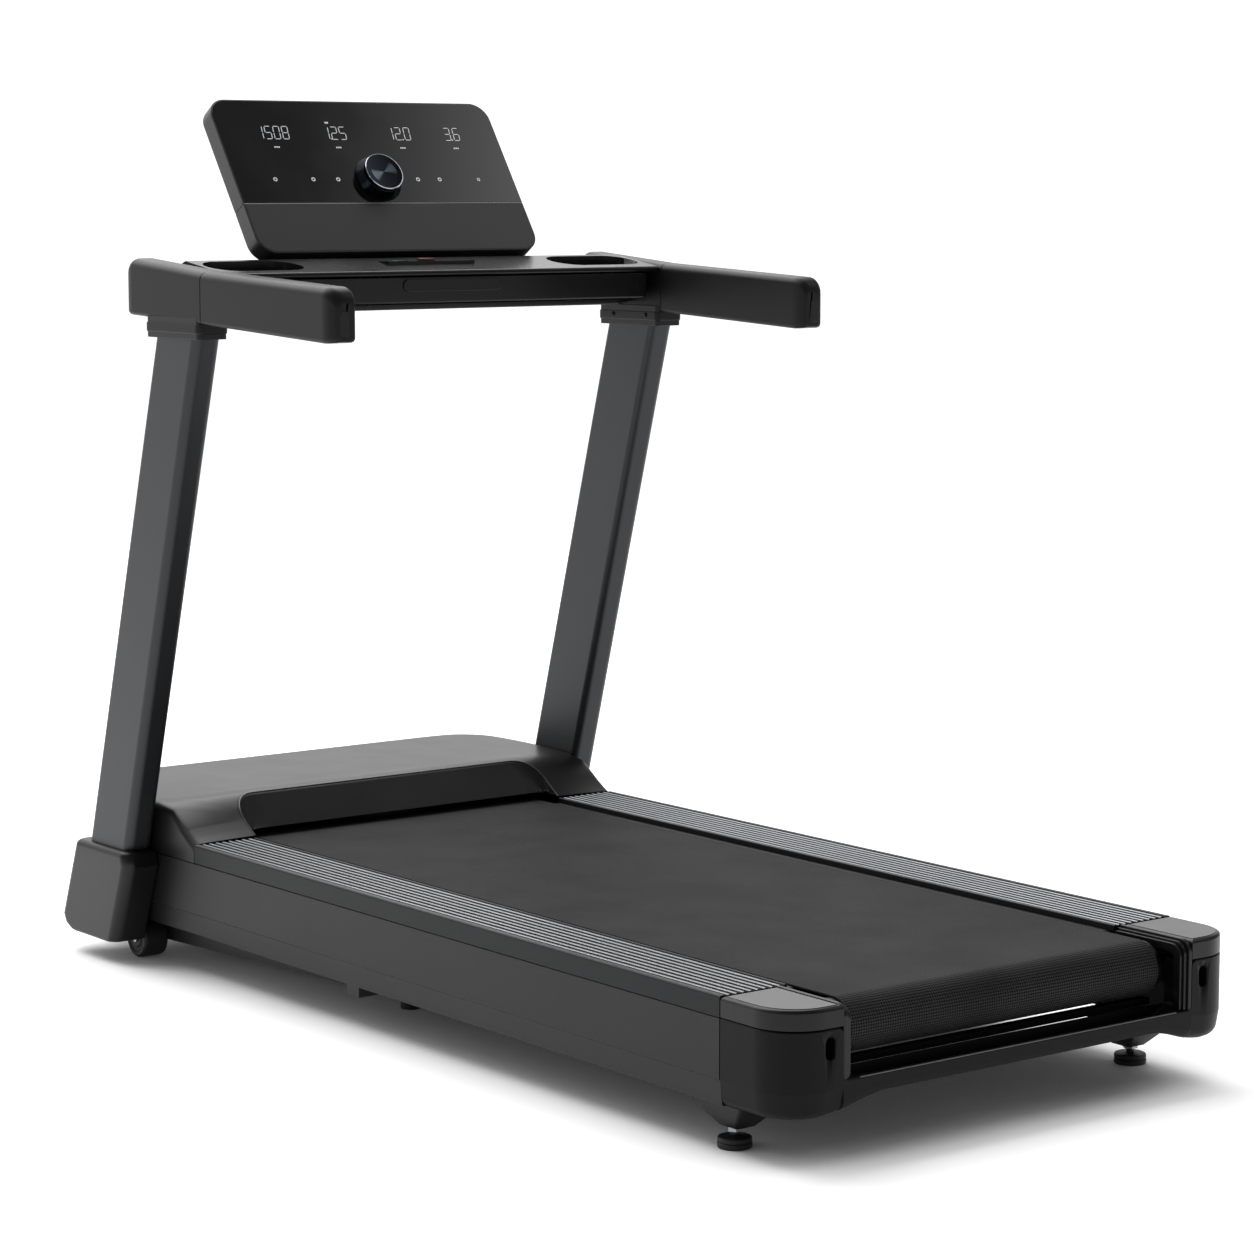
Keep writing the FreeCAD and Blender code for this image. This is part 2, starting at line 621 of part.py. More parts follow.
# ---------------------------------------------------------------- hood and motor bay
shoulder = [(hood_rear, deck_height - 2), (hood_rear + 15, deck_height + 13),
            (hood_rear + 35, deck_height + 26),
            (hood_rear + 53, hood_top - 14), (hood_rear + 118, hood_top - 7), (hood_rear + 168, hood_top - 4),
            (front - 14, hood_top), (front, hood_top - 12)]


def inset(points, depth):
    """The shoulder line moved inwards by a wall."""
    inner = [(y, z - depth) for y, z in points[:-2]]
    inner[0] = (hood_rear + depth, deck_height - 2 - depth)
    return inner + [(front - 14 - depth / 2, hood_top - depth), (front - depth, hood_top - 12 - depth / 2)]


def arch(name, half, top, radius):
    """The hood's cross-section: upright sides and a flat top, with rounded shoulders."""
    body = profile(name, "xz", [(-half, 0), (half, 0), (half, top), (-half, top)], (hood_rear - 1, front + 1))
    return soften(body, radius, lambda edge: runs_along(edge, "y") and edge.BoundBox.Center.z > 1)


def common(name, base, tool):
    """What two solids share."""
    result = doc.addObject("Part::Common", name)
    result.Base, result.Tool = base, tool
    return result


hood_side = profile("hood_side", "yz", [(hood_rear, seam_height)] + shoulder + [
    (front, hood_lip), (front - hood_wall, hood_lip), (front - hood_wall, seam_height)], (-deck_half,
                                                                                          deck_half))
hood_block = common("hood_block", hood_side, arch("hood_arch", deck_half, hood_top, hood_round))
recess_low = belt_top + hood_mouth
recess_y = hood_rear + 27
recess = profile("hood_recess", "yz", [
    (hood_rear - 5, seam_height - 5), (recess_y, seam_height - 5), (recess_y, recess_low),
    (hood_rear + 113, hood_top - 8.5), (hood_rear + 113, hood_top + 10), (hood_rear - 5, hood_top + 10)],
    (-rail_inner, rail_inner))
middle_hollow = profile("hood_middle_hollow", "yz", [
    (recess_y - 1, seam_height - 5), (recess_y - 1, recess_low - hood_wall), (recess_y,
                                                                              recess_low - hood_wall),
    (hood_rear + 113, hood_top - 8.5 - hood_wall), (hood_rear + 168, hood_top - 4 - hood_wall),
    (front - 16, hood_top - hood_wall), (front - hood_wall, hood_top - 15), (front - hood_wall,
                                                                             seam_height - 5)],
    (-rail_inner, rail_inner))
hollow_sides = []
for side, hand in HANDS:
    span = pair(side, rail_inner + hood_wall, deck_half - hood_wall)
    body = profile("hood_side_hollow_" + hand, "yz",
                   [(hood_rear + hood_wall, seam_height - 5)] + inset(shoulder, hood_wall)
                   + [(front - hood_wall, seam_height - 5)], span)
    vault = arch("hood_vault_" + hand, deck_half - hood_wall, hood_top - hood_wall, hood_round - hood_wall)
    hollow_sides.append(common("hood_shoulder_hollow_" + hand, body, vault))
bay = block("hood_belt_bay", (-deck_half + hood_wall, deck_half - hood_wall),
            (front_roller_y - drive_pulley_radius - 8, front - hood_wall), (seam_height - 5,
                                                                            recess_low - hood_wall))
board_way = block("hood_board_way", (-board_half - 1, board_half + 1), (hood_rear - 1, hood_rear + 20),
                  (seam_height - 5, board_top + play))
inlet_x = (-beam_inner + 40, -beam_inner + 68)
inlet_z = (90, 114)
switch_x = (-beam_inner + 84, -beam_inner + 99)
switch_z = (92, 112)
switch_gap = 2
sockets = [block("inlet_hole", inlet_x, (front - hood_wall - 1, front + 1), inlet_z),
           block("switch_hole", (switch_x[0] - switch_gap, switch_x[1] + switch_gap),
                 (front - hood_wall - 1, front + 1),
                 (switch_z[0] - switch_gap, switch_z[1] + switch_gap))]
node("hood", cut("hood_shell", hood_block, recess, middle_hollow, *hollow_sides, bay, board_way, *sockets))

pan_rear = front_roller_y + 50
pan = block("pan_plate", (-beam_inner + 14, beam_inner - 14), (pan_rear, front - hood_wall),
            (deck_clearance, deck_clearance + 3))
pan_lip = block("pan_lip", (-beam_inner + 14, beam_inner - 14), (pan_rear, pan_rear + 3),
                (deck_clearance, beam_low + 10))
pan_stays = [block("pan_stay_" + hand, pair(side, beam_inner - 17, beam_inner),
                   (pan_rear + 20, pan_rear + 60),
                   (deck_clearance + 3, beam_low + 12)) for side, hand in HANDS]
node("belly_pan", fuse("pan", pan, pan_lip, *pan_stays))

motor_y = front - motor_set
motor_left = pulley_x[1] + 14
motor_right = motor_left + motor_length
motor_case = rod("motor_case", "x", motor_radius, (motor_left, motor_right), motor_y, motor_height)
end_bell = rod("motor_bell", "x", motor_radius - 8, (motor_right, motor_right + 12), motor_y, motor_height)
shaft_hole = rod("motor_bore", "x", 8 + running_fit, (motor_left - 1, motor_right + 13), motor_y,
                 motor_height)
node("drive_motor", cut("motor", fuse("motor_built", motor_case, end_bell), shaft_hole))
saddle = block("motor_saddle", (motor_left + 20, motor_right - 20), (motor_y - 34, motor_y + 34),
               (deck_clearance + 3, motor_height - 20))
saddle_cut = rod("motor_saddle_cut", "x", motor_radius, (motor_left, motor_right), motor_y, motor_height)
node("motor_mount", cut("motor_cradle", saddle, saddle_cut))
shaft = rod("motor_shaft", "x", 8, (pulley_x[0], motor_right + 34), motor_y, motor_height)
small_pulley = rod("motor_pulley", "x", motor_pulley_radius, pulley_x, motor_y, motor_height)
flywheel = rod("motor_flywheel", "x", motor_radius + 2, (motor_right + 14, motor_right + 32), motor_y,
               motor_height)
node("motor_rotor", fuse("rotor", shaft, small_pulley, flywheel))
node("drive_belt", band("ribbed_belt", (pulley_x[0] + 1, pulley_x[1] - 1),
                        (front_roller_y, roller_height, drive_pulley_radius + play),
                        (motor_y, motor_height, motor_pulley_radius + play), drive_thickness))
board_x = (motor_right + 60, motor_right + 210)
heat_sink = block("heat_sink", board_x, (motor_y - 40, motor_y + 70),
                  (deck_clearance + 3, deck_clearance + 9))
fins = [block("fin_%d" % index, board_x, (motor_y - 40 + 14 * index, motor_y - 37 + 14 * index),
              (deck_clearance + 9, deck_clearance + 34)) for index in range(8)]
node("motor_controller", fuse("controller", heat_sink, *fins))


# ---------------------------------------------------------------- rear feet
def foot_bracket(side, hand):
    """Pressed bracket: a neck up to the beam, and a skirt that tapers down to the stud."""
    collar_top, low = deck_clearance - play, 26
    body = doc.addObject("Part::Wedge", "bracket_" + hand)
    wide, deep, low_wide, low_deep = 33, 46, 15, 17
    bind(body, Xmin=-wide, Xmax=wide, X2min=-low_wide, X2max=low_wide, Zmin=-deep, Zmax=deep,
         Z2min=-low_deep, Z2max=low_deep, Ymin=0, Ymax=collar_top - low)
    body.Placement = Placement(Vector(), Rotation(Vector(1, 0, 0), -90))
    bind(body, Placement__Base__x=side * (foot_offset - 4), Placement__Base__y=rear + foot_set,
         Placement__Base__z=collar_top)
    neck = block("bracket_neck_" + hand, pair(side, beam_inner, foot_offset + 10),
                 (rear + cap_length + 2, rear + foot_set + 25), (collar_top, beam_low))
    hole = rod("bracket_hole_" + hand, "z", stud_radius + running_fit, side * foot_offset, rear + foot_set,
               (low - 1, beam_low + 1))
    return cut("bracket_drilled_" + hand, fuse("bracket_built_" + hand, body, neck), hole)


def levelling_foot(side, hand):
    """Rubber-faced pad on a threaded stud."""
    x, y = side * foot_offset, rear + foot_set
    pad = rod("pad_" + hand, "z", foot_radius, x, y, (0, foot_pad - 4))
    crown = doc.addObject("Part::Cone", "pad_crown_" + hand)
    bind(crown, Radius1=foot_radius, Radius2=stud_radius + 4, Height=4, Placement__Base__x=x,
         Placement__Base__y=y,
         Placement__Base__z=foot_pad - 4)
    stud = rod("stud_" + hand, "z", stud_radius, x, y, (foot_pad - 1, beam_low + 14))
    return fuse("foot_" + hand, pad, crown, stud)


def lock_nut(side, hand):
    """Hexagon nut that locks the stud under the bracket."""
    nut = doc.addObject("Part::Prism", "nut_" + hand)
    nut.Polygon = 6
    bind(nut, Circumradius=9.8, Height=6, Placement__Base__x=side * foot_offset,
         Placement__Base__y=rear + foot_set,
         Placement__Base__z=20)
    hole = rod("nut_hole_" + hand, "z", stud_radius + running_fit, side * foot_offset, rear + foot_set,
               (19, 27))
    return cut("nut_drilled_" + hand, nut, hole)


node("foot_brackets", group("brackets", both(foot_bracket)))
node("lock_nuts", group("nuts", both(lock_nut)))
for side, hand in HANDS:
    node("levelling_foot_" + hand, levelling_foot(side, hand))

# ---------------------------------------------------------------- base frame
base_z = (base_bottom, base_bottom + base_tube)
front_tube_y = (front - base_front_set - base_front_depth, front - base_front_set)
back_tube_y = (front - base_reach, front - base_reach + 30)
front_tube = block("base_front_tube", (-post_inner, post_inner), front_tube_y, base_z)
back_tube = block("base_back_tube", (-330, 330), back_tube_y, (base_z[0] + 8, base_z[1]))
node("base_cross_tubes", group("cross_tubes", [front_tube, back_tube]))


def base_side_tube(side, hand):
    """Tube from the front cross tube to the back one, running slightly inwards."""
    outer_front, outer_back = 330, 270
    plan = [(outer_front, front_tube_y[0]), (outer_front - base_tube_width, front_tube_y[0]),
            (outer_back - base_tube_width, back_tube_y[1]), (outer_back, back_tube_y[1])]
    return profile("side_tube_" + hand, "xy", [(side * x, y) for x, y in plan], base_z)


node("base_side_tubes", group("side_tubes", both(base_side_tube)))


def base_pad(side, hand):
    """Rubber block that carries the back of the base."""
    return rod("pad_back_" + hand, "z", 14, side * 235, (back_tube_y[0] + back_tube_y[1]) / 2,
               (0, base_z[0] + 8))


node("base_pads", group("pads", both(base_pad)))


def hinge_lug(side, hand):
    """Steel lug on the front cross tube that holds the fold pin, just inside the deck beam."""
    plate = [(front_tube_y[0] + 6, base_z[1]), (front_tube_y[1], base_z[1]), (fold_y + 13, fold_height - 6),
             (fold_y + 13, fold_height + 8), (fold_y + 6, fold_height + 14), (fold_y - 10, fold_height + 14)]
    body = profile("lug_" + hand, "yz", plate, pair(side, beam_inner - 6.5, beam_inner - 0.5))
    hole = rod("lug_hole_" + hand, "x", fold_pin, pair(side, beam_inner - 8, beam_inner + 1), fold_y,
               fold_height)
    return cut("lug_drilled_" + hand, body, hole)


def fold_pivot(side, hand):
    """Pin through lug and beam."""
    return rod("pin_" + hand, "x", fold_pin, pair(side, beam_inner - 6.5, beam_outer + 3), fold_y,
               fold_height)


node("hinge_lugs", group("lugs", both(hinge_lug)))
node("fold_pins", group("pins", both(fold_pivot)))


def transport_wheel(side, hand):
    """Rubber-tyred roller inside the boot."""
    outer = deck_half
    x = pair(side, outer - wheel_width, outer)
    tyre = rod("tyre_" + hand, "x", wheel_radius, x, wheel_y, wheel_radius)
    bore = rod("tyre_bore_" + hand, "x", wheel_axle + running_fit,
               pair(side, outer - wheel_width - 1, outer + 1), wheel_y, wheel_radius)
    return cut("wheel_" + hand, tyre, bore)


def stub_axle(side, hand):
    """Axle from the base side tube to the upright."""
    return rod("stub_" + hand, "x", wheel_axle, pair(side, 328, post_inner), wheel_y, wheel_radius)


for side, hand in HANDS:
    node("transport_wheel_" + hand, transport_wheel(side, hand))
node("wheel_axles", group("stub_axles", both(stub_axle)))


def upright(side, hand):
    """Rectangular steel tube leaning back, rounded along its edges."""
    top = arm_height + 2
    def slice_at(z, inset_by):
        return [(post_front(z) - post_depth + inset_by, z), (post_front(z) - inset_by, z)]
    low, high = slice_at(post_foot, 0), slice_at(top, 0)
    outer = profile("post_" + hand, "yz", [low[0], low[1], high[1], high[0]],
                    pair(side, post_inner, post_inner + post_width))
    soften(outer, post_round, lambda edge: edge.BoundBox.ZLength > 500)
    low, high = slice_at(post_foot - 1, post_wall), slice_at(top + 1, post_wall)
    inner = profile("post_hollow_" + hand, "yz", [low[0], low[1], high[1], high[0]],
                    pair(side, post_inner + post_wall, post_inner + post_width - post_wall))
    soften(inner, post_round - post_wall, lambda edge: edge.BoundBox.ZLength > 500)
    return cut("post_tube_" + hand, outer, inner)


def boot(side, hand):
    """Moulded cover round an upright's foot, open towards the deck."""
    toe = front - 48
    heel = post_front(boot_top) - post_depth - 12
    outline = [(heel + 38, boot_bottom), (toe - 24, boot_bottom), (toe, boot_bottom + 20),
               (toe - 38, boot_top - 10),
               (toe - 48, boot_top), (heel + 6, boot_top), (heel - 6, boot_top - 14)]
    outer = profile("boot_block_" + hand, "yz", outline, pair(side, post_inner + 0.1, boot_outer))
    face = (boot_outer - post_inner - 0.1).value if side > 0 else 0.0
    soften(outer, 12, lambda edge: edge.BoundBox.XLength < 0.01 and abs(edge.BoundBox.Center.x - face) < 0.01)
    w = boot_wall
    inside = [(heel + 38 + w, boot_bottom - 1), (toe - 24 - w, boot_bottom - 1),
              (toe - w - 1, boot_bottom + 20),
              (toe - 38 - w, boot_top - 10 - w), (toe - 50, boot_top - w),
              (heel + 8, boot_top - w), (heel - 6 + w, boot_top - 15)]
    hollow = profile("boot_hollow_" + hand, "yz", inside, pair(side, post_inner, boot_outer - 2 * w))
    low, high = boot_top - 20, boot_top + 5
    passage = profile("boot_passage_" + hand, "yz", [
        (post_front(low) - post_depth - play, low), (post_front(low) + play, low),
        (post_front(high) + play, high), (post_front(high) - post_depth - play, high)],
        pair(side, post_inner - 1, post_inner + post_width + play))
    return cut("boot_" + hand, outer, hollow, passage)


for side, hand in HANDS:
    node("upright_" + hand, upright(side, hand))
node("boots", group("boot_pair", both(boot)))

# ---------------------------------------------------------------- arms, grips and tray
arm_front = head_y + arm_ahead
seam_y = head_y - grip_seam
grip_end = seam_y - grip_length
seam_low, front_low = arm_height - 4, arm_height + 4
end_low = seam_low - grip_drop


def collar(side, hand):
    """Moulded sleeve where the upright enters the arm."""
    ends = (post_front(arm_height) - post_depth - 9, post_front(arm_height - collar_height) + 20)
    outer = block("collar_block_" + hand, pair(side, post_inner - 3,
                                               post_inner + post_width + collar_margin), ends,
                  (arm_height - collar_height, seam_low))
    low, high = arm_height - collar_height - 2, arm_height + 2
    hole = profile("collar_hole_" + hand, "yz", [
        (post_front(low) - post_depth - play, low), (post_front(low) + play, low),
        (post_front(high) + play, high), (post_front(high) - post_depth - play, high)],
        pair(side, post_inner - play, post_inner + post_width + play))
    return cut("collar_" + hand, outer, hole)


def arm_cover(side, hand):
    """Front part of an arm, over the upright's end."""
    outline = [(seam_y, seam_low), (arm_front, front_low), (arm_front, front_low + arm_deep),
               (seam_y, seam_low + arm_slim)]
    body = profile("arm_block_" + hand, "yz", outline, pair(side, arm_inner, arm_inner + arm_width))
    outer_x = arm_width.value if side > 0 else 0.0

    def outer_top(edge):
        box = edge.BoundBox
        outside = abs(box.Center.x - outer_x) < 0.01 and box.XLength < 0.01
        return outside and box.Center.z > arm_height.value + 20 and box.YLength > 30

    def outer_front(edge):
        box = edge.BoundBox
        outside = abs(box.Center.x - outer_x) < 0.5 and box.YLength < 1
        return outside and box.ZLength > 50 and box.Center.y > head_y.value

    soften(body, 12, outer_top)
    soften(body, 16, outer_front)
    low, high = arm_height - 12, arm_height + 4
    socket = profile("arm_socket_" + hand, "yz", [
        (post_front(low) - post_depth - play, low), (post_front(low) + play, low),
        (post_front(high) + play, high), (post_front(high) - post_depth - play, high)],
        pair(side, post_inner - play, post_inner + post_width + play))
    return cut("arm_" + hand, body, socket)


def grip(side, hand):
    """Soft-faced hand grip reaching back from the seam."""
    outline = [(grip_end, end_low), (seam_y, seam_low), (seam_y, seam_low + arm_slim),
               (grip_end, end_low + arm_slim + 1)]
    body = profile("grip_block_" + hand, "yz", outline, pair(side, arm_inner, arm_inner + arm_width))
    soften(body, 11, lambda edge: edge.BoundBox.XLength < 0.01 and edge.BoundBox.YLength > 100)
    return body


def collar_screw(side, hand, ahead):
    """Button-head screw through the collar's inner face into the upright."""
    face = post_inner - 3
    height = arm_height - collar_height / 2
    return rod("collar_screw_%s_%d" % (hand, ahead), "x", 3.5, pair(side, face - 1.4, face),
               post_front(height) - post_depth / 2 + ahead, height)


node("collars", group("collar_pair", both(collar)))
node("collar_screws", group("screws", [collar_screw(side, hand, ahead) for side,
                                       hand in HANDS for ahead in (-38, 38)]))
node("arm_covers", group("arm_pair", both(arm_cover)))
for side, hand in HANDS:
    node("grip_" + hand, grip(side, hand))


def grip_plug(side, hand):
    """Oval plug in the end of a grip."""
    middle = arm_inner + arm_width / 2
    return block("plug_" + hand, pair(side, middle - 11, middle + 11), (grip_end - 1, grip_end),
                 (end_low + 12, end_low + 52))


node("grip_plugs", group("plugs", both(grip_plug)))

tray_low = arm_height + tray_lift
tray_back = seam_y + 3
tray_front = arm_front - 4
tray_top_rear = tray_low + tray_face
tray_top_front = tray_top_rear + 8
tray_line = [(tray_back, tray_low), (tray_back, tray_low + tray_face - 6),
             (tray_back + 7, tray_low + tray_face),
             (head_y - 14, tray_top_rear + tray_rise), (head_y + 8, tray_top_front), (tray_front,
                                                                                      tray_top_front),
             (tray_front, tray_low)]
tray_block = profile("tray_block", "yz", tray_line, (-arm_inner, arm_inner))
w = tray_wall
tray_hollow = profile("tray_hollow", "yz", [
    (tray_back + w, tray_low - 1), (tray_back + w, tray_low + tray_face - 8), (tray_back + 9,
                                                                               tray_low + tray_face - w),
    (head_y - 14, tray_top_rear + tray_rise - w), (head_y + 8, tray_top_front - w), (tray_front - w,
                                                                                     tray_top_front - w),
    (tray_front - w, tray_low - 1)], (-arm_inner + w, arm_inner - w))
well_y = head_y - 62


def well(name, side, radius, z):
    """Long round-ended recess, or the cup that forms it."""
    ends = [rod("well_end_%s_%d" % (name, way), "z", radius, side * well_place + way * well_half, well_y, z)
            for way in (-1, 1)]
    middle = block("well_middle_" + name, (side * well_place - well_half, side * well_place + well_half),
                   (well_y - radius, well_y + radius), z)
    return fuse("well_" + name, middle, *ends)


well_cups, well_holes = [], []
for side, hand in HANDS:
    floor = tray_top_rear + tray_rise / 2 - well_depth
    well_cups.append(well("cup_" + hand, side, well_radius + w, (floor - w, tray_top_rear + 2)))
    well_holes.append(well("hollow_" + hand, side, well_radius, (floor, tray_top_rear + tray_rise + 9)))
tray_shell = cut("tray_shell", tray_block, tray_hollow)
node("tray_top", cut("tray", fuse("tray_with_cups", tray_shell, *well_cups), *well_holes))
node("tray_underside", block("tray_floor", (-arm_inner, arm_inner), (tray_back + 5, tray_front),
                             (tray_low - tray_lip, tray_low)))
node("console_crossbar", cut("crossbar", block("crossbar_tube", (-arm_inner + w, arm_inner - w),
                                               (head_y - 60, head_y - 20),
                                               (tray_low, tray_low + 24)),
                             block("crossbar_inside", (-arm_inner, arm_inner), (head_y - 57.5, head_y - 22.5),
                                   (tray_low + 2.5, tray_low + 21.5))))
port_y = (tray_back - 1.2, tray_back)
node("tray_port_cover", block("port_cover", (-84, 87), port_y, (tray_low + 16.5, tray_low + 34.5)))

# ---------------------------------------------------------------- console
joint_y = head_y + console_ahead
joint_z = arm_height + console_rise
tip = Rotation(Vector(1, 0, 0), 90 - console_tilt.value)


def on_face(up, out):
    """World Y and Z of a point up the console's face and out of it."""
    return (joint_y + up * sine(console_tilt) - out * cosine(console_tilt),
            joint_z + up * cosine(console_tilt) + out * sine(console_tilt))


def lean_back(thing, x, up, out):
    """Turns a piece into the console's plane and ties it there."""
    y, z = on_face(size_of(up), size_of(out))
    thing.Placement = Placement(Vector(), tip)
    thing.setExpression("Placement.Rotation.Angle", (90 - console_tilt).text)
    bind(thing, Placement__Base__x=x, Placement__Base__y=y, Placement__Base__z=z)
    return thing


def face_block(name, x, up, out):
    """A box in the console's plane."""
    box = doc.addObject("Part::Box", name)
    bind(box, Length=size_of(x[1]) - x[0], Width=size_of(up[1]) - up[0], Height=size_of(out[1]) - out[0])
    return lean_back(box, x[0], up[0], out[0])


def face_plate(name, half, up, out, radius, rounded):
    """A plate in the console's plane with rounded corners at the listed ends."""
    body = profile(name, "xy", [(-half, up[0]), (half, up[0]), (half, up[1]), (-half, up[1])],
                   (size_of(0), size_of(out[1]) - out[0]))
    body.setExpression("Placement.Base.z", None)
    for height in rounded:
        level = size_of(height).value
        soften(body, radius, lambda edge: runs_along(edge, "z") and abs(edge.BoundBox.Center.y - level) < 0.2)
    return lean_back(body, 0, 0, out[0])


half_width = console_width / 2
face_ends = (-panel_height, glass_height)
shell_outer = face_plate("console_block", half_width, face_ends, (-console_thickness, 0), console_corner,
                         face_ends)
inner_ends = (-panel_height + console_wall, glass_height - console_wall)
shell_inner = face_plate("console_hollow", half_width - console_wall, inner_ends,
                         (-console_thickness + console_wall, 1),
                         console_corner - console_wall, inner_ends)
node("console_shell", cut("console_case", shell_outer, shell_inner))
glass_half = half_width - console_wall - 0.2
node("console_glass", face_plate("glass", glass_half, (0.4, glass_height - console_wall - 0.2), (-3, 0),
                                 console_corner - console_wall - 0.2, (glass_height - console_wall - 0.2,)))
node("console_panel", face_plate("panel", glass_half, (-panel_height + console_wall + 0.2, 0), (-3, 0),
                                 console_corner - console_wall - 0.2, (-panel_height + console_wall + 0.2,)))
node("display_board", face_block("circuit_board", (-half_width + 20, half_width - 20),
                                 (25, glass_height - 20), (-12, -10.4)))
node("dial_encoder", face_block("encoder", (-12, 12), (knob_place - 12, knob_place + 12), (-10.3, -3.1)))
dial_foot = doc.addObject("Part::Cone", "dial_foot")
bind(dial_foot, Radius1=knob_skirt, Radius2=knob_radius + 1, Height=knob_height - 6)
lean_back(dial_foot, 0, knob_place, play)
dial_cap = doc.addObject("Part::Cylinder", "dial_cap")
bind(dial_cap, Radius=knob_radius, Height=knob_height - play)
lean_back(dial_cap, 0, knob_place, play)
node("dial", fuse("dial_turned", dial_foot, dial_cap))
neck = block("console_neck_block", (-120, 120), (head_y + 14, tray_front - 20),
             (tray_top_front, tray_top_front + 32))
neck_cut = face_block("console_neck_cut", (-130, 130), (-panel_height - 60, glass_height),
                      (-console_thickness, 60))
node("console_neck", cut("neck", neck, neck_cut))

# ---------------------------------------------------------------- safety key and its dock in the tray
dock_y = head_y - 55
dock_top = tray_top_rear + tray_rise - 4
dock_block = block("key_dock_block", (-75, 75), (dock_y - 16, dock_y + 16), (tray_top_rear, dock_top))
node("safety_key_dock", cut("key_dock", dock_block, tray_block))
node("safety_key", rod("key_disc", "z", 13, 0, dock_y, (dock_top + play, dock_top + 7)))

# ---------------------------------------------------------------- power inlet and switch
node("power_inlet", block("inlet", inlet_x, (front - hood_wall - 22, front - 0.5), inlet_z))
node("power_switch", block("rocker", switch_x, (front - hood_wall - 10, front - 0.5), switch_z))

# ---------------------------------------------------------------- fold strut
strut_turn = math.degrees(math.atan2(strut_rise.value, strut_reach.value))
strut_span = math.hypot(strut_rise.value, strut_reach.value)
along = Rotation(Vector(1, 0, 0), strut_turn - 90)


def strut_bar(name, radius, start, end):
    """A round bar on the strut's axis, from one distance off its base pivot to another."""
    bar = doc.addObject("Part::Cylinder", name)
    bar.Radius, bar.Height = radius, end - start
    foot = along.multVec(Vector(0, 0, start))
    bar.Placement = Placement(Vector(0, strut_y.value + foot.y, strut_height.value + foot.z), along)
    return bar


barrel_end = 250
barrel = strut_bar("strut_barrel", strut_radius.value, 18, barrel_end)
barrel_bore = strut_bar("strut_bore", strut_radius.value - 2, 24, barrel_end - 8)
rod_hole = strut_bar("strut_gland", strut_rod_radius.value + running_fit.value, barrel_end - 10,
                     barrel_end + 1)
base_eye = rod("strut_base_eye", "x", 10, (-6, 6), strut_y, strut_height)
base_link = strut_bar("strut_link", 5, 0, 20)
eye_hole = rod("strut_eye_hole", "x", 5 + running_fit, (-7, 7), strut_y, strut_height)
node("strut_cylinder", cut("strut_body", fuse("strut_body_built", barrel, base_eye, base_link),
                           barrel_bore, rod_hole, eye_hole))
piston_rod = strut_bar("strut_piston_rod", strut_rod_radius.value, 50, strut_span - 4)
piston = strut_bar("strut_piston", strut_radius.value - 2.3, 46, 56)
rod_eye = rod("strut_rod_eye", "x", 9, (-6, 6), clevis_y, clevis_z)
node("strut_rod", fuse("strut_plunger", piston_rod, piston, rod_eye))
strut_ears = [block("base_ear_%s" % hand, pair(side, 6.5, 10.5), (strut_y - 15, strut_y + 11),
                    (base_z[1], strut_height + 10))
              for side, hand in HANDS]
strut_pin = rod("strut_pin", "x", 5, (-10.5, 10.5), strut_y, strut_height)
node("strut_bracket", fuse("strut_base", *strut_ears, strut_pin))


# ---------------------------------------------------------------- check and write
doc.recompute()
for item in doc.Objects:
    if "Invalid" in item.State or "Error" in item.State:
        raise RuntimeError("failed object: %s %s" % (item.Label, item.State))
for name, piece in parts.items():
    if piece.Shape.isNull() or not piece.Shape.isValid() or not piece.Shape.Solids:
        raise RuntimeError("bad shape: " + name)
os.makedirs("parts", exist_ok=True)
for name, piece in parts.items():
    piece.Shape.exportStep(os.path.join("parts", name + ".step"))
print(len(parts), "nodes written")
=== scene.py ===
import bmesh
import bpy
import json
import math
from mathutils import Matrix, Vector


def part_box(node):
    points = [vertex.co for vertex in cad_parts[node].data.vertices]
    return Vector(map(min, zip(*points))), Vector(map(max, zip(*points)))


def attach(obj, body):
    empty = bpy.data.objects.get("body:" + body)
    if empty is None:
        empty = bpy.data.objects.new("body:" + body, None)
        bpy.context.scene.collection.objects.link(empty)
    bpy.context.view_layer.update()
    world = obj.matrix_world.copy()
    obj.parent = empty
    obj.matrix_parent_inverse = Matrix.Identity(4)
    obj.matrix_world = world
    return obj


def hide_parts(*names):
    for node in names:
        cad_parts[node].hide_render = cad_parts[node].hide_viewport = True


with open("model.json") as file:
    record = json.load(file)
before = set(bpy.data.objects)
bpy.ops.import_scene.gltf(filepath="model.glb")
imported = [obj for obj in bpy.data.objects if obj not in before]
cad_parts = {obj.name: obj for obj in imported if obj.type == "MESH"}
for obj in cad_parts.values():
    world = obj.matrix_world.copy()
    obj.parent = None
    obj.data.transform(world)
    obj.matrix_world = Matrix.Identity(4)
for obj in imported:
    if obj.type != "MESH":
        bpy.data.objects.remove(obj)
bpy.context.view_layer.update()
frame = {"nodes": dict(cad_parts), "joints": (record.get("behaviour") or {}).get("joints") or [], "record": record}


# Studio: a white floor that runs into a white backdrop, soft light from above and from the left,
# and less light from behind the machine. The camera stands at the rear left corner, at chest height.
MM = 0.001
camera_data = bpy.data.cameras.new("camera")
camera_data.lens = 101.38
camera_data.sensor_width = 36
camera_data.clip_end = 100
camera = bpy.data.objects.new("camera", camera_data)
camera.location = (-2.9147, -3.8309, 1.13)
looks_along = Vector((0.6053, 0.7862, -0.1244))
camera.rotation_euler = looks_along.to_track_quat("-Z", "Y").to_euler()
bpy.context.scene.collection.objects.link(camera)
bpy.context.scene.camera = camera
bpy.context.scene.view_settings.view_transform = "Standard"


def linear(code):
    """An sRGB hex colour as linear RGBA."""
    levels = [int(code[place:place + 2], 16) / 255 for place in (1, 3, 5)]
    return tuple(v / 12.92 if v <= 0.04045 else ((v + 0.055) / 1.055) ** 2.4 for v in levels) + (1,)


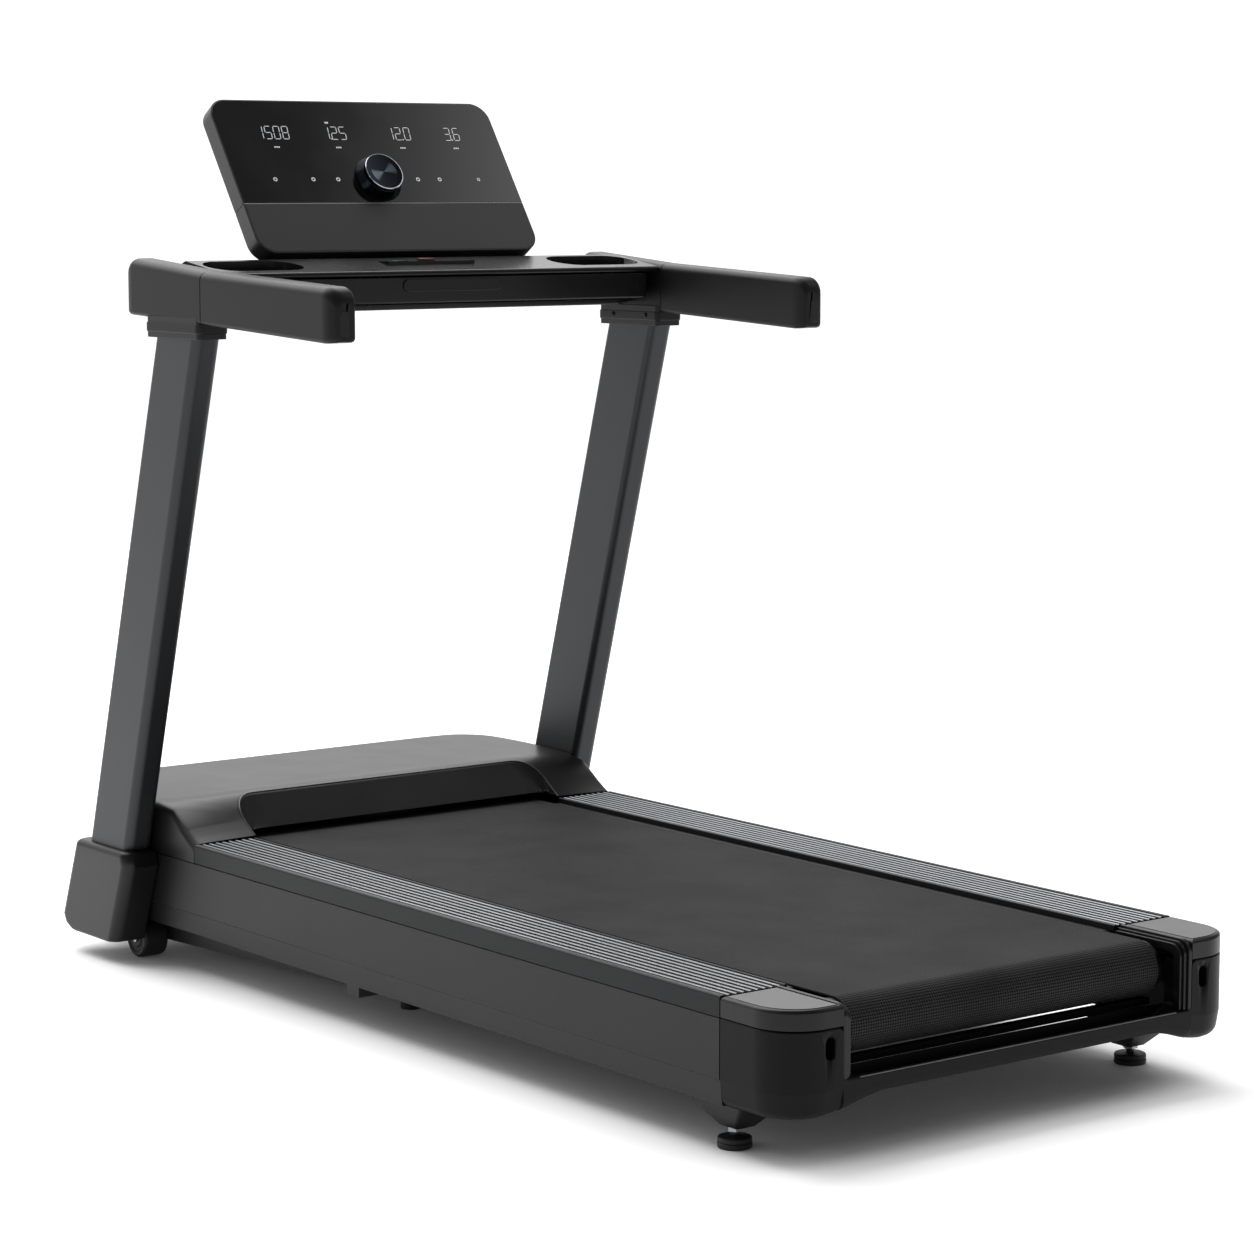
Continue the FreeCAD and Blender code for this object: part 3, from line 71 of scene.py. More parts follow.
def add(owner, kind, inputs=(), **settings):
    """Adds one node to a material, world or tree; an input is a value, a socket or a node."""
    tree = getattr(owner, "node_tree", None) or owner
    made = tree.nodes.new(kind)
    for name, value in settings.items():
        setattr(made, name, value)
    for name, value in dict(inputs).items():
        if isinstance(value, bpy.types.Node):
            value = value.outputs[0]
        if isinstance(value, bpy.types.NodeSocket):
            tree.links.new(value, made.inputs[name])
        else:
            made.inputs[name].default_value = value
    return made


def blank(name):
    """A material with an empty node tree."""
    material = bpy.data.materials.new(name)
    material.use_nodes = True
    material.node_tree.nodes.clear()
    return material


def eased(owner, value, start, end, low, high):
    """A value carried smoothly from the range start to end into the range low to high."""
    return add(owner, "ShaderNodeMapRange", {"Value": value, "From Min": start, "From Max": end,
                                             "To Min": low, "To Max": high},
                                             interpolation_type="SMOOTHSTEP")


def reckoned(owner, operation, *values):
    """The result of one operation on one or two values."""
    return add(owner, "ShaderNodeMath", dict(enumerate(values)), operation=operation)


def blended(owner, factor, *colours):
    """A mix of two colours, each a hex code or a socket."""
    first, second = (linear(colour) if isinstance(colour, str) else colour for colour in colours)
    return add(owner, "ShaderNodeMix", {"Factor": factor, 6: first, 7: second}, data_type="RGBA").outputs[2]


def shaded(material, **sockets):
    """Ends a material with its surface; an underscore in a socket's name stands for a space."""
    shade = add(material, "ShaderNodeBsdfPrincipled",
                {name.replace("_", " "): value for name, value in sockets.items()})
    add(material, "ShaderNodeOutputMaterial", {"Surface": shade})


studio = bpy.data.worlds.new("studio")
bpy.context.scene.world = studio
studio.use_nodes = True
studio.node_tree.nodes.clear()
way = add(studio, "ShaderNodeTexCoord")
apart = add(studio, "ShaderNodeSeparateXYZ", {"Vector": way.outputs["Generated"]})
ahead_glow = eased(studio, apart.outputs["Y"], 0.15, 0.8, 0.2, 1.2)
right_side = eased(studio, apart.outputs["X"], 0.535, 0.61, 0.0, 1.9)
high_up = eased(studio, apart.outputs["Z"], 0.45, 0.7, 0.0, 1.0)
behind = eased(studio, apart.outputs["Y"], -0.3, 0.0, 1.0, 0.0)
right_high = reckoned(studio, "MULTIPLY", right_side, high_up)
right_glow = reckoned(studio, "MULTIPLY", right_high, behind)
sky = reckoned(studio, "ADD", ahead_glow, right_glow)
backdrop = add(studio, "ShaderNodeBackground", {"Color": linear("#ffffff"), "Strength": sky})
add(studio, "ShaderNodeOutputWorld", {"Surface": backdrop})

floor_with_painted_shadow = blank("studio_floor_painted_shadow")
floor_place = add(floor_with_painted_shadow, "ShaderNodeTexCoord")
floor_away = add(floor_with_painted_shadow, "ShaderNodeVectorMath", {0: floor_place.outputs["Object"]},
                 operation="LENGTH")
# The floor glows, though it is no lamp. It glows more with distance so it fades into the white backdrop, and less
# where the machine stands close over it, which paints a soft contact shadow under the machine.
floor_glow = eased(floor_with_painted_shadow, floor_away.outputs["Value"], 1.4, 5.0, 0.02, 0.7)
contact_shadow_ao = add(floor_with_painted_shadow, "ShaderNodeAmbientOcclusion", {"Distance": 0.3}, samples=8)
painted_contact_shadow = eased(floor_with_painted_shadow, contact_shadow_ao.outputs["AO"], 0.3, 0.8, 0.0, 0.5)
floor_glow_and_painted_shadow = reckoned(floor_with_painted_shadow, "MAXIMUM", floor_glow, painted_contact_shadow)
shaded(floor_with_painted_shadow, Base_Color=linear("#f6f6f6"), Roughness=0.9, Specular_IOR_Level=0.1,
       Emission_Color=linear("#ffffff"), Emission_Strength=floor_glow_and_painted_shadow)
floor_reach = 40
floor_mesh = bpy.data.meshes.new("floor")
floor_mesh.from_pydata([(x * floor_reach, y * floor_reach, 0) for x,
                        y in ((-1, -1), (1, -1), (1, 1), (-1, 1))],
                       [], [(0, 1, 2, 3)])
floor_mesh.materials.append(floor_with_painted_shadow)
floor = bpy.data.objects.new("floor", floor_mesh)
bpy.context.scene.collection.objects.link(floor)

for name, place, size, power in (("key", (-3.6, 1.2, 2.6), (2.4, 2.4), 3),
                                 ("top", (0.2, 2.6, 4.6), (6.4, 5.2), 325),
                                 ("edge", (-4.3, -1.1, 1.5), (0.4, 2.6), 4)):
    lamp = bpy.data.lights.new(name, "AREA")
    lamp.shape = "RECTANGLE"
    lamp.size, lamp.size_y = size
    lamp.energy = power
    light = bpy.data.objects.new(name, lamp)
    light.location = place
    light.rotation_euler = (Vector((0, 0, 0.4)) - Vector(place)).to_track_quat("-Z", "Y").to_euler()
    bpy.context.scene.collection.objects.link(light)


# Foot rails: extruded aluminium, anodised dark, with rounded grip ribs along the top.
# The outer edge is a smooth rounded strip, and the inner lip reaches down to the running board.
def span(name):
    """Lowest and highest corner of a CAD node, in millimetres."""
    low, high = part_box(name)
    return low / MM, high / MM


def rounded(corners, steps=5):
    """A closed outline from (u, v, radius) corners, each corner turned by an arc."""
    outline = []
    for index, (u, v, radius) in enumerate(corners):
        here = Vector((u, v))
        if radius <= 0:
            outline.append(here)
            continue
        back = (Vector(corners[index - 1][:2]) - here).normalized()
        ahead = (Vector(corners[(index + 1) % len(corners)][:2]) - here).normalized()
        half = back.angle(ahead) / 2
        centre = here + (back + ahead).normalized() * (radius / math.sin(half))
        start = here + back * (radius / math.tan(half)) - centre
        side = 1 if start.y * back.x - start.x * back.y > 0 else -1
        for step in range(steps + 1):
            outline.append(centre + Matrix.Rotation(side * (math.pi - 2 * half) * step / steps, 2) @ start)
    return outline


def loft(rings, capped=True, looped=False):
    """Vertices and faces of a skin over closed rings of equal count."""
    size = len(rings[0])
    faces = []
    for index in range(len(rings) if looped else len(rings) - 1):
        first, second = index * size, (index + 1) % len(rings) * size
        faces += [(first + k, first + (k + 1) % size, second + (k + 1) % size, second + k)
                  for k in range(size)]
    if capped and not looped:
        faces += [tuple(range(size)), tuple((len(rings) - 1) * size + k for k in range(size))]
    return [point for ring in rings for point in ring], faces


def inset(corners, depth):
    """The (u, v, radius) corners moved inwards by a depth, their radii eased to match."""
    area = sum(a[0] * b[1] - b[0] * a[1] for a, b in zip(corners, corners[1:] + corners[:1]))
    turn = 1 if area > 0 else -1
    moved = []
    for index, (u, v, radius) in enumerate(corners):
        here = Vector((u, v))
        arrive = (here - Vector(corners[index - 1][:2])).normalized()
        leave = (Vector(corners[(index + 1) % len(corners)][:2]) - here).normalized()
        first, second = Vector((-arrive.y, arrive.x)) * turn, Vector((-leave.y, leave.x)) * turn
        inward = first + second
        inward *= depth * 2 / inward.length_squared
        convex = (arrive.x * leave.y - arrive.y * leave.x) * turn > 0
        eased = max(0.25, radius - depth if convex else radius + depth) if radius > 0 else 0
        moved.append((u + inward.x, v + inward.y, eased))
    return moved


def oblong(left, right, bottom, top, low_radius, high_radius=None):
    """The four (u, v, radius) corners of a rectangle; the upper two may have their own radius."""
    high_radius = low_radius if high_radius is None else high_radius
    return [(left, bottom, low_radius), (right, bottom, low_radius), (right, top, high_radius),
            (left, top, high_radius)]


def slab(corners, place, low, high, soft_low=0, soft_high=0, steps=4, bend=5):
    """A plate of (u, v, radius) corners between two heights; place(u, v, w) gives the point."""
    rings = []
    turns = [math.pi / 2 * step / steps for step in range(steps + 1)]
    if soft_low:
        rings += [(soft_low * (1 - math.sin(turn)), low + soft_low * (1 - math.cos(turn)))
                  for turn in turns]
    else:
        rings.append((0, low))
    if soft_high:
        rings += [(soft_high * (1 - math.cos(turn)), high - soft_high * (1 - math.sin(turn)))
                  for turn in turns]
    else:
        rings.append((0, high))
    return loft([[place(*point, height) for point in rounded(inset(corners, depth), bend)]
                 for depth, height in rings])


def joined(*shapes):
    """Several shells as one."""
    points, faces = [], []
    for shape_points, shape_faces in shapes:
        faces += [tuple(len(points) + k for k in face) for face in shape_faces]
        points += list(shape_points)
    return points, faces


def both(shape):
    """A right-hand shape with its left-hand mirror image."""
    points, faces = shape
    return joined(shape, ([Vector((-p[0], p[1], p[2])) for p in points],
                          [tuple(reversed(f)) for f in faces]))


def on_xy(u, v, w):
    return Vector((u, v, w))


def on_xz(u, v, w):
    return Vector((u, w, v))


def on_yz(u, v, w):
    return Vector((w, u, v))


body_of = {name: body for body, names in frame["record"]["behaviour"]["bodies"].items() for name in names}
slot_of = {entry["node"]: entry["material_slot"] for entry in frame["record"]["subparts"]}


def settle(piece, sharp=32):
    """Turns modifiers into plain mesh and shades it smooth, with flat faces kept flat."""
    evaluated = piece.evaluated_get(bpy.context.evaluated_depsgraph_get())
    mesh = bpy.data.meshes.new_from_object(evaluated)
    piece.modifiers.clear()
    piece.data = mesh
    mesh.shade_smooth()
    mesh.set_sharp_from_angle(angle=math.radians(sharp))
    piece.modifiers.new("normals", "WEIGHTED_NORMAL").keep_sharp = True
    piece.data = bpy.data.meshes.new_from_object(piece.evaluated_get(bpy.context.evaluated_depsgraph_get()))
    piece.modifiers.clear()
    return piece


def solid(name, shape, material, wall=0, cutter=None, sharp=32):
    """A finished object from a shape in millimetres, with an optional wall and cut."""
    points, faces = shape
    mesh = bpy.data.meshes.new(name)
    mesh.from_pydata([Vector(p) * MM for p in points], [], faces)
    tidy = bmesh.new()
    tidy.from_mesh(mesh)
    bmesh.ops.remove_doubles(tidy, verts=tidy.verts, dist=0.02 * MM)
    bmesh.ops.recalc_face_normals(tidy, faces=tidy.faces)
    tidy.to_mesh(mesh)
    tidy.free()
    piece = bpy.data.objects.new(name, mesh)
    bpy.context.scene.collection.objects.link(piece)
    if wall:
        shell = piece.modifiers.new("wall", "SOLIDIFY")
        shell.thickness, shell.offset = wall * MM, -1
    if cutter:
        cut = piece.modifiers.new("cut", "BOOLEAN")
        cut.operation, cut.object, cut.solver = "DIFFERENCE", cutter, "EXACT"
    settle(piece, sharp)
    if cutter:
        bpy.data.objects.remove(cutter)
    piece.data.materials.clear()
    piece.data.materials.append(material)
    return piece


def fit(piece, *nodes):
    """The piece stands for these CAD nodes and rides on their body."""
    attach(piece, body_of[nodes[0]])
    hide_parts(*nodes)
    return piece


SIDES = ((-1, "left"), (1, "right"))


def each_side(name, shape, material, node, **settings):
    """A left and a right piece from a right-hand shape, each fitted to its own CAD node."""
    for side, hand in SIDES:
        one = [Vector((side * p.x, p.y, p.z)) for p in shape[0]], shape[1]
        fit(solid(name + hand, one, material, **settings), node + hand)


def surface(name, base, lighter, roughness, grain, depth, patch=60, metallic=0, **sockets):
    """A solid finish: two close tones in patches, and a fine grain; grain and patch in millimetres."""
    material = blank(name)
    coordinates = add(material, "ShaderNodeTexCoord")
    tones = add(material, "ShaderNodeTexNoise",
                {"Vector": coordinates.outputs["Object"], "Scale": 1 / (patch * MM),
                                                 "Detail": 3})
    tone = blended(material, tones.outputs["Fac"], base, lighter)
    gloss = add(material, "ShaderNodeMapRange", {"Value": tones.outputs["Fac"], "From Min": 0.3,
                                                 "From Max": 0.7,
                                                 "To Min": roughness - 0.015, "To Max": roughness + 0.015})
    grains = add(material, "ShaderNodeTexNoise",
                 {"Vector": coordinates.outputs["Object"], "Scale": 1 / (grain * MM),
                                                  "Detail": 2})
    bump = add(material, "ShaderNodeBump", {"Height": grains.outputs["Fac"], "Strength": 0.35,
                                            "Distance": depth * MM})
    shaded(material, Base_Color=tone, Roughness=gloss, Normal=bump, Metallic=metallic, **sockets)
    return material


# Anodising gives a dark metal that turns bright where it is seen nearly edge-on; a fine grain lies in it.
anodised_aluminium = surface("anodised_extruded_aluminium", "#121315", "#1d1e20", 0.42, 3, 0.01, 90,
                             metallic=0.4,
                              Specular_IOR_Level=0.25)

rail_low, rail_high = span("side_rails")
board_high = span("running_board")[1]
deck_half = rail_high.x
rail_top = rail_high.z
rail_seam = 166.5
rail_inner = deck_half - 102.5
rib_height = 1.8
rib_floor = rail_top - rib_height
edge_strip = 8.5
rail_wall = 2.5
rail_section = [
    (deck_half, rail_seam + 0.4, 0.6), (deck_half, rail_top, 3.2), (deck_half - edge_strip, rail_top, 0.8),
    (deck_half - edge_strip - 0.6, rib_floor, 0.4), (rail_inner + 4.6, rib_floor, 0.4),
    (rail_inner + 4, rail_top, 0.8), (rail_inner, rail_top, 1.4), (rail_inner, board_high.z + 0.3, 0.5),
    (rail_inner + rail_wall, board_high.z + 0.3, 0), (rail_inner + rail_wall, rib_floor - rail_wall, 0),
    (deck_half - rail_wall, rib_floor - rail_wall, 0), (deck_half - rail_wall, rail_seam + 0.4, 0)]
rail_gap = 0.6
rails = solid("foot_rails", both(slab(rail_section, on_xz, rail_low.y + rail_gap, rail_high.y - rail_gap)),
              anodised_aluminium)
fit(rails, "side_rails")


def tree_inputs(tree, sizes):
    """Gives a Geometry Nodes tree its geometry output and its named inputs; returns the input node."""
    tree.interface.new_socket("Geometry", in_out="OUTPUT", socket_type="NodeSocketGeometry")
    tree.interface.new_socket("Geometry", in_out="INPUT", socket_type="NodeSocketGeometry")
    for name, value in sizes.items():
        kind = {int: "Int", float: "Float", bpy.types.Material: "Material"}[type(value)]
        tree.interface.new_socket(name, in_out="INPUT", socket_type="NodeSocket" + kind)
    return tree.nodes.new("NodeGroupInput")


def closed(tree, instances, given):
    """Ends a tree: real geometry in the material it was given."""
    real = add(tree, "GeometryNodeRealizeInstances", {"Geometry": instances})
    painted = add(tree, "GeometryNodeSetMaterial",
                  {"Geometry": real, "Material": given.outputs["Material"]})
    add(tree, "NodeGroupOutput", {"Geometry": painted})


def grown(name, tree, sizes, start):
    """The plain mesh that a Geometry Nodes tree makes from a starting mesh and its sizes."""
    piece = bpy.data.objects.new(name, start)
    bpy.context.scene.collection.objects.link(piece)
    modifier = piece.modifiers.new("grow", "NODES")
    modifier.node_group = tree
    for socket in tree.interface.items_tree:
        if socket.in_out == "INPUT" and socket.name in sizes:
            modifier[socket.identifier] = sizes[socket.name]
    return settle(piece)


# Ribs: aluminium grip ribs of the foot rails, rounded bars set side by side and swept along the rail.
# Each has dark anodised flanks and a narrower crest whose light grey is a painted highlight, grown from one
# Geometry Nodes tree.
# Painted highlight: the crests are coloured light grey to stand for the thin bright lines of light along the ribs.
crest_painted_highlight = surface("rib_crest_painted_highlight", "#78797c", "#818285", 0.36, 4, 0.004, 90, metallic=0.8)
rib_flanks = surface("dark_anodised_rib_flanks", "#0b0b0c", "#0e0e0f", 0.6, 4, 0.004, 90,
                     Specular_IOR_Level=0.06)
rib_sizes = {"Count": 8, "Pitch": 10.9 * MM, "Width": 10.6 * MM, "Height": (rib_height - 0.6) * MM,
             "Length": (rail_high.y - rail_low.y - 2 * rail_gap) * MM, "Material": rib_flanks}
crest_sizes = {**rib_sizes, "Width": 4.7 * MM, "Height": (rib_height + 0.12) * MM,
               "Material": crest_painted_highlight}
ribs = bpy.data.node_groups.new("grip_ribs", "GeometryNodeTree")
given = tree_inputs(ribs, rib_sizes)
shift = add(ribs, "ShaderNodeCombineXYZ", {"X": given.outputs["Pitch"]})
places = add(ribs, "GeometryNodeMeshLine", {"Count": given.outputs["Count"], "Offset": shift},
             mode="OFFSET")
reach = add(ribs, "ShaderNodeCombineXYZ", {"Y": given.outputs["Length"]})
run = add(ribs, "GeometryNodeCurvePrimitiveLine", {"End": reach})
half_width = reckoned(ribs, "MULTIPLY", given.outputs["Width"], 0.5)
ring = add(ribs, "GeometryNodeCurvePrimitiveCircle", {"Resolution": 20, "Radius": half_width})
bar = add(ribs, "GeometryNodeCurveToMesh", {"Curve": run, "Profile Curve": ring, "Fill Caps": True})
flat = reckoned(ribs, "DIVIDE", given.outputs["Height"], half_width)
scale = add(ribs, "ShaderNodeCombineXYZ", {"X": 1.0, "Y": 1.0, "Z": flat})
rib = add(ribs, "GeometryNodeTransform", {"Geometry": bar, "Scale": scale})
row = add(ribs, "GeometryNodeInstanceOnPoints", {"Points": places, "Instance": rib})
closed(ribs, row, given)
for side, hand in SIDES:
    row_start = rail_inner + 10.5 if side > 0 else -(deck_half - edge_strip - 6.8)
    for part, sizes in (("flanks_", rib_sizes), ("crest_highlights_", crest_sizes)):
        grip_ribs = grown("rib_" + part + hand, ribs, sizes, bpy.data.meshes.new("rib_start"))
        grip_ribs.data.transform(Matrix.Translation(Vector((row_start, rail_low.y + rail_gap,
                                                            rib_floor - 0.12)) * MM))
        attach(grip_ribs, "deck")


# Side skirts: folded sheet steel, powder coated, with a crease below the middle and a turned-in foot.
# Powder coat has a faint orange peel and a satin sheen.
coated_steel = surface("powder_coated_steel_satin", "#0e0e0f", "#121213", 0.42, 2.2, 0.05, 120,
                       Specular_IOR_Level=0.28)
metallic_coat = surface("satin_metallic_powder_coat", "#2e2f31", "#343537", 0.4, 2.0, 0.04, 140,
                        metallic=0.6)
skirt_low, skirt_high = span("side_skirts")
skirt_crease = 93
skirt_lean = 5
skirt_wall = 2.5
skirt_top = rail_seam - 0.5
skirt_section = [
    (deck_half, skirt_top, 1.2), (deck_half, skirt_crease, 0.5), (deck_half - 1.7, skirt_crease - 1.2, 0.4),
    (deck_half - skirt_lean, skirt_low.z, 3),
    (deck_half - 29, skirt_low.z, 1), (deck_half - 29, skirt_low.z + skirt_wall, 0.5),
    (deck_half - skirt_lean - skirt_wall, skirt_low.z + skirt_wall, 0.5),
    (deck_half - skirt_wall, skirt_crease, 0),
    (deck_half - skirt_wall, skirt_top - skirt_wall, 0.5), (deck_half - 28, skirt_top - skirt_wall, 0),
    (deck_half - 28, skirt_top, 0.5)]
skirts = solid("side_skirts_folded", both(slab(skirt_section, on_xz, skirt_low.y + 0.8, skirt_high.y - 58)),
               coated_steel)
fit(skirts, "side_skirts")


# Running belt: two-ply PVC with a fine diamond weave pressed in, joined end to end and run over both rollers.
# The raised weave is painted lighter and its hollows darker, a painted highlight and shade for the small bright
# points of light it catches, finer on the real belt than it is drawn here.
def belt_loop(radius, extra, steps=28):
    """Centre-line points of a closed belt round the two rollers, with the run along it."""
    outline = [(rear_roller_y + (radius + extra) * math.cos(math.pi * (1.5 - step / steps)),
                roller_z + (radius + extra) * math.sin(math.pi * (1.5 - step / steps)))
                for step in range(steps + 1)]
    outline += [(front_roller_y + (radius + extra) * math.cos(math.pi * (0.5 - step / steps)),
                 roller_z + (radius + extra) * math.sin(math.pi * (0.5 - step / steps)))
                 for step in range(steps + 1)]
    return [Vector(point) for point in outline]


belt_low, belt_high = span("running_belt")
roller_z = (belt_low.z + belt_high.z) / 2
belt_thickness = 2.3
belt_radius = (belt_high.z - belt_low.z) / 2 - belt_thickness
rear_roller_y = belt_low.y + belt_radius + belt_thickness
front_roller_y = belt_high.y - belt_radius - belt_thickness
belt_edge = belt_high.x
belt_rings = []
for outer, inner in zip(belt_loop(belt_radius, belt_thickness), belt_loop(belt_radius, 0)):
    near = outer.lerp(inner, 0.3)
    belt_rings.append([on_yz(*outer, -belt_edge + 0.8), on_yz(*outer, belt_edge - 0.8),
                       on_yz(*near, belt_edge),
                       on_yz(*inner, belt_edge), on_yz(*inner, -belt_edge), on_yz(*near, -belt_edge)])

woven_belt = blank("pressed_weave_pvc")
coordinates = add(woven_belt, "ShaderNodeTexCoord")
across = add(woven_belt, "ShaderNodeSeparateXYZ", {"Vector": coordinates.outputs["Object"]})
along = add(woven_belt, "ShaderNodeAttribute", attribute_name="run")
weave_pitch = 7.6
turns_per_metre = 2 * math.pi / (weave_pitch * MM)
total = reckoned(woven_belt, "ADD", across.outputs["X"], along.outputs["Fac"])
apart = reckoned(woven_belt, "SUBTRACT", across.outputs["X"], along.outputs["Fac"])
waves = []
for lean_way in (total, apart):
    phase = reckoned(woven_belt, "MULTIPLY", lean_way, turns_per_metre)
    waves.append(reckoned(woven_belt, "SINE", phase))
weave = reckoned(woven_belt, "MULTIPLY", *waves)
dust = add(woven_belt, "ShaderNodeTexNoise", {"Vector": coordinates.outputs["Object"], "Scale": 9,
                                              "Detail": 4})
# Painted highlight and shade: the weave's tops are coloured light grey and its hollows near black.
weave_highlight_mask = add(woven_belt, "ShaderNodeMapRange", {"Value": weave, "From Min": -0.6, "From Max": 0.8})
weave_painted_highlight = blended(woven_belt, weave_highlight_mask, "#030303", "#515152")
tint = blended(woven_belt, dust.outputs["Fac"], weave_painted_highlight, "#161617")
bump = add(woven_belt, "ShaderNodeBump", {"Height": weave, "Strength": 0.9, "Distance": 0.5 * MM})
shaded(woven_belt, Base_Color=tint, Roughness=0.62, Specular_IOR_Level=0.08, Normal=bump)

belt = solid("running_belt_woven", loft(belt_rings, looped=True), woven_belt, sharp=45)
run = belt.data.attributes.new("run", "FLOAT", "POINT")
for index, vertex in enumerate(belt.data.vertices):
    y, z = vertex.co.y / MM, vertex.co.z / MM
    if y < rear_roller_y:
        turned = math.atan2(rear_roller_y - y, z - roller_z)
        length = rear_roller_y - turned * (belt_radius + belt_thickness)
    elif y > front_roller_y:
        length = front_roller_y + math.atan2(y - front_roller_y,
                                             z - roller_z) * (belt_radius + belt_thickness)
    else:
        length = y
    run.data[index].value = length * MM
fit(belt, "running_belt")


# Rear corners: moulded ABS caps over the rails' ends, with a soft rim round a flat top.
# Stepped strips run along each cap's inner edge and down beside the roller to the crossbar.
moulded_abs = surface("moulded_abs_fine_texture", "#0c0c0d", "#101011", 0.34, 0.9, 0.05, 80,
                      Specular_IOR_Level=0.28)
rear_low = span("rear_fascia")[0]
rear = rear_low.y
cap_front = rear + 121
cap_corner = 60
strip_outer = rail_inner + 16
seam_gap = 0.9
cap_plan = [(strip_outer, rear, 0.5), (deck_half, rear, cap_corner), (deck_half, cap_front - 0.8, 0.8),
            (strip_outer, cap_front - 0.8, 0.5)]
rim = 5
cap_shell = slab(cap_plan, on_xy, rail_seam + seam_gap, rail_top - 0.8, 1, rim, bend=14)
cap_top = slab(inset(cap_plan, rim + 0.6), on_xy, rail_top - 2, rail_top, 0, 0.7, bend=14)


def strip(x, step_back):
    """One stepped strip: along the cap's inner edge, round the corner and down to the crossbar."""
    depth = 11
    corner = 16
    low = rear_sill_top + 0.6
    back, top = rear + step_back, rail_top - step_back
    outline = [(cap_front - 0.8, top, 0), (back, top, corner), (back, low, 0), (back + depth, low, 0),
               (back + depth, top - depth, corner - 7), (cap_front - 0.8, top - depth, 0)]
    return slab(outline, on_yz, x[0], x[1], 1.1, 1.1, 2, 8)


rear_sill_top = 103.5
strips = [strip((rail_inner + 10, strip_outer + 0.3), 0.4),
          strip((rail_inner + 4.6, rail_inner + 10.4), 3.2),
          strip((rail_inner, rail_inner + 5), 6)]
caps = solid("rear_corner_caps", both(joined(cap_shell, *strips)), moulded_abs)
fit(caps, "rear_caps")


# Cap inlays: the flat top of each rear corner, moulded ABS set inside the cap's soft rim; their lighter grey is a
# painted reflection of the bright surroundings on the flat top.
# A plate on the cap's own plan, moved inwards, with a slightly rounded upper edge.
inlay_painted_reflection = surface("cap_inlay_painted_reflection", "#29292b", "#2e2e30", 0.3, 1.2, 0.02, 60)
inlays = solid("rear_cap_inlays", both(cap_top), inlay_painted_reflection)
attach(inlays, "deck")


# Rear fascia: one ABS moulding with a matt grain, a cheek below each cap and the crossbar between them.
# A section is swept along the plan path, and its underside rises from the cheeks to the crossbar.
sill_low = rear_sill_top - 21.5
sill_depth = 53
cheek_depth = 46
foot_z = rear_low.z
arch_radius = 8


def fascia_ring(across, back, outward, low, high, depth, soft, lean_in, hollow):
    """Section of the fascia at one place along its plan path; the crossbar's part is a hollow channel."""
    crease = low + 0.31 * (high - low)
    wall = 9 + (depth - 22) * (1 - min(1, hollow / 16))
    section = rounded([(0, high, 2), (0, crease, 3), (lean_in, low, soft), (depth, low, 1),
                       (depth, high, 0.6),
                       (depth - 6, high, 0), (depth - 6, high - 0.3 - hollow, 0),
                       (wall, high - 0.3 - hollow, 0),
                       (wall, high, 0.6)], steps=5)
    return [Vector((across - outward[0] * inward, back - outward[1] * inward, height)) for inward,
            height in section]


path = [(deck_half, y, (1, 0), foot_z, rail_seam, cheek_depth, 12, 5, 0)
        for y in (cap_front - 0.8, rear + cap_corner)]
for step in range(1, 15):
    turn = math.pi / 2 * step / 14
    path.append((deck_half - cap_corner * (1 - math.cos(turn)), rear + cap_corner * (1 - math.sin(turn)),
                 (math.cos(turn), -math.sin(turn)), foot_z, rail_seam, cheek_depth, 12 + 6 * step / 14, 5,
                 0))
sweep_start, sweep_end = strip_outer + 34, rail_inner - 58


def underside(x):
    """How far the cheek's underside has swept up into the crossbar's, from 0 to 1."""
    share = min(1, max(0, (sweep_start - x) / (sweep_start - sweep_end)))
    return (1 - math.cos(math.pi * share)) / 2


tops = [(strip_outer + 26, rail_seam), (strip_outer + 17, rail_seam)]
tops += [(strip_outer + arch_radius * (1 - math.sin(math.pi / 2 * k / 6)),
          rail_seam - arch_radius * (1 - math.cos(math.pi / 2 * k / 6))) for k in range(7)]
tops += [(strip_outer - arch_radius * (1 - math.cos(math.pi / 2 * k / 6)),
          rear_sill_top + arch_radius * (1 - math.sin(math.pi / 2 * k / 6))) for k in range(7)]
tops += [(rail_inner + 7 - 66 * k / 12, rear_sill_top) for k in range(1, 13)]
for x, top in tops:
    share = underside(x)
    channel = min(1, max(0, (rail_inner + 7 - x) / 40))
    path.append((x, rear, (0, -1), foot_z + (sill_low - foot_z) * share, top,
                 cheek_depth + (sill_depth - cheek_depth) * share, 18 - 15 * share, 5 - 4 * share,
                 16 * channel))
half_path = path + [(0, rear, (0, -1), sill_low, rear_sill_top, sill_depth, 3, 1, 16)]
right_rings = [fascia_ring(*stop) for stop in half_path]
left_rings = [[Vector((-p.x, p.y, p.z)) for p in ring] for ring in reversed(right_rings[:-1])]
slot_x, slot_z, slot_half = 308.5, 143.5, 8
slot_half_height = 14.5
slot_outline = oblong(slot_x - slot_half, slot_x + slot_half, slot_z - slot_half_height,
                      slot_z + slot_half_height,
                      slot_half - 0.4)
slot_cutter = solid("slot_cutter", both(slab(slot_outline, on_xz, rear - 5, rear + 32)), moulded_abs)
fascia_abs = surface("moulded_abs_matt", "#0c0c0d", "#101011", 0.42, 0.9, 0.05, 80, Specular_IOR_Level=0.12)
fascia = solid("rear_fascia_moulded", loft(right_rings + left_rings), fascia_abs, cutter=slot_cutter)
fit(fascia, "rear_fascia")


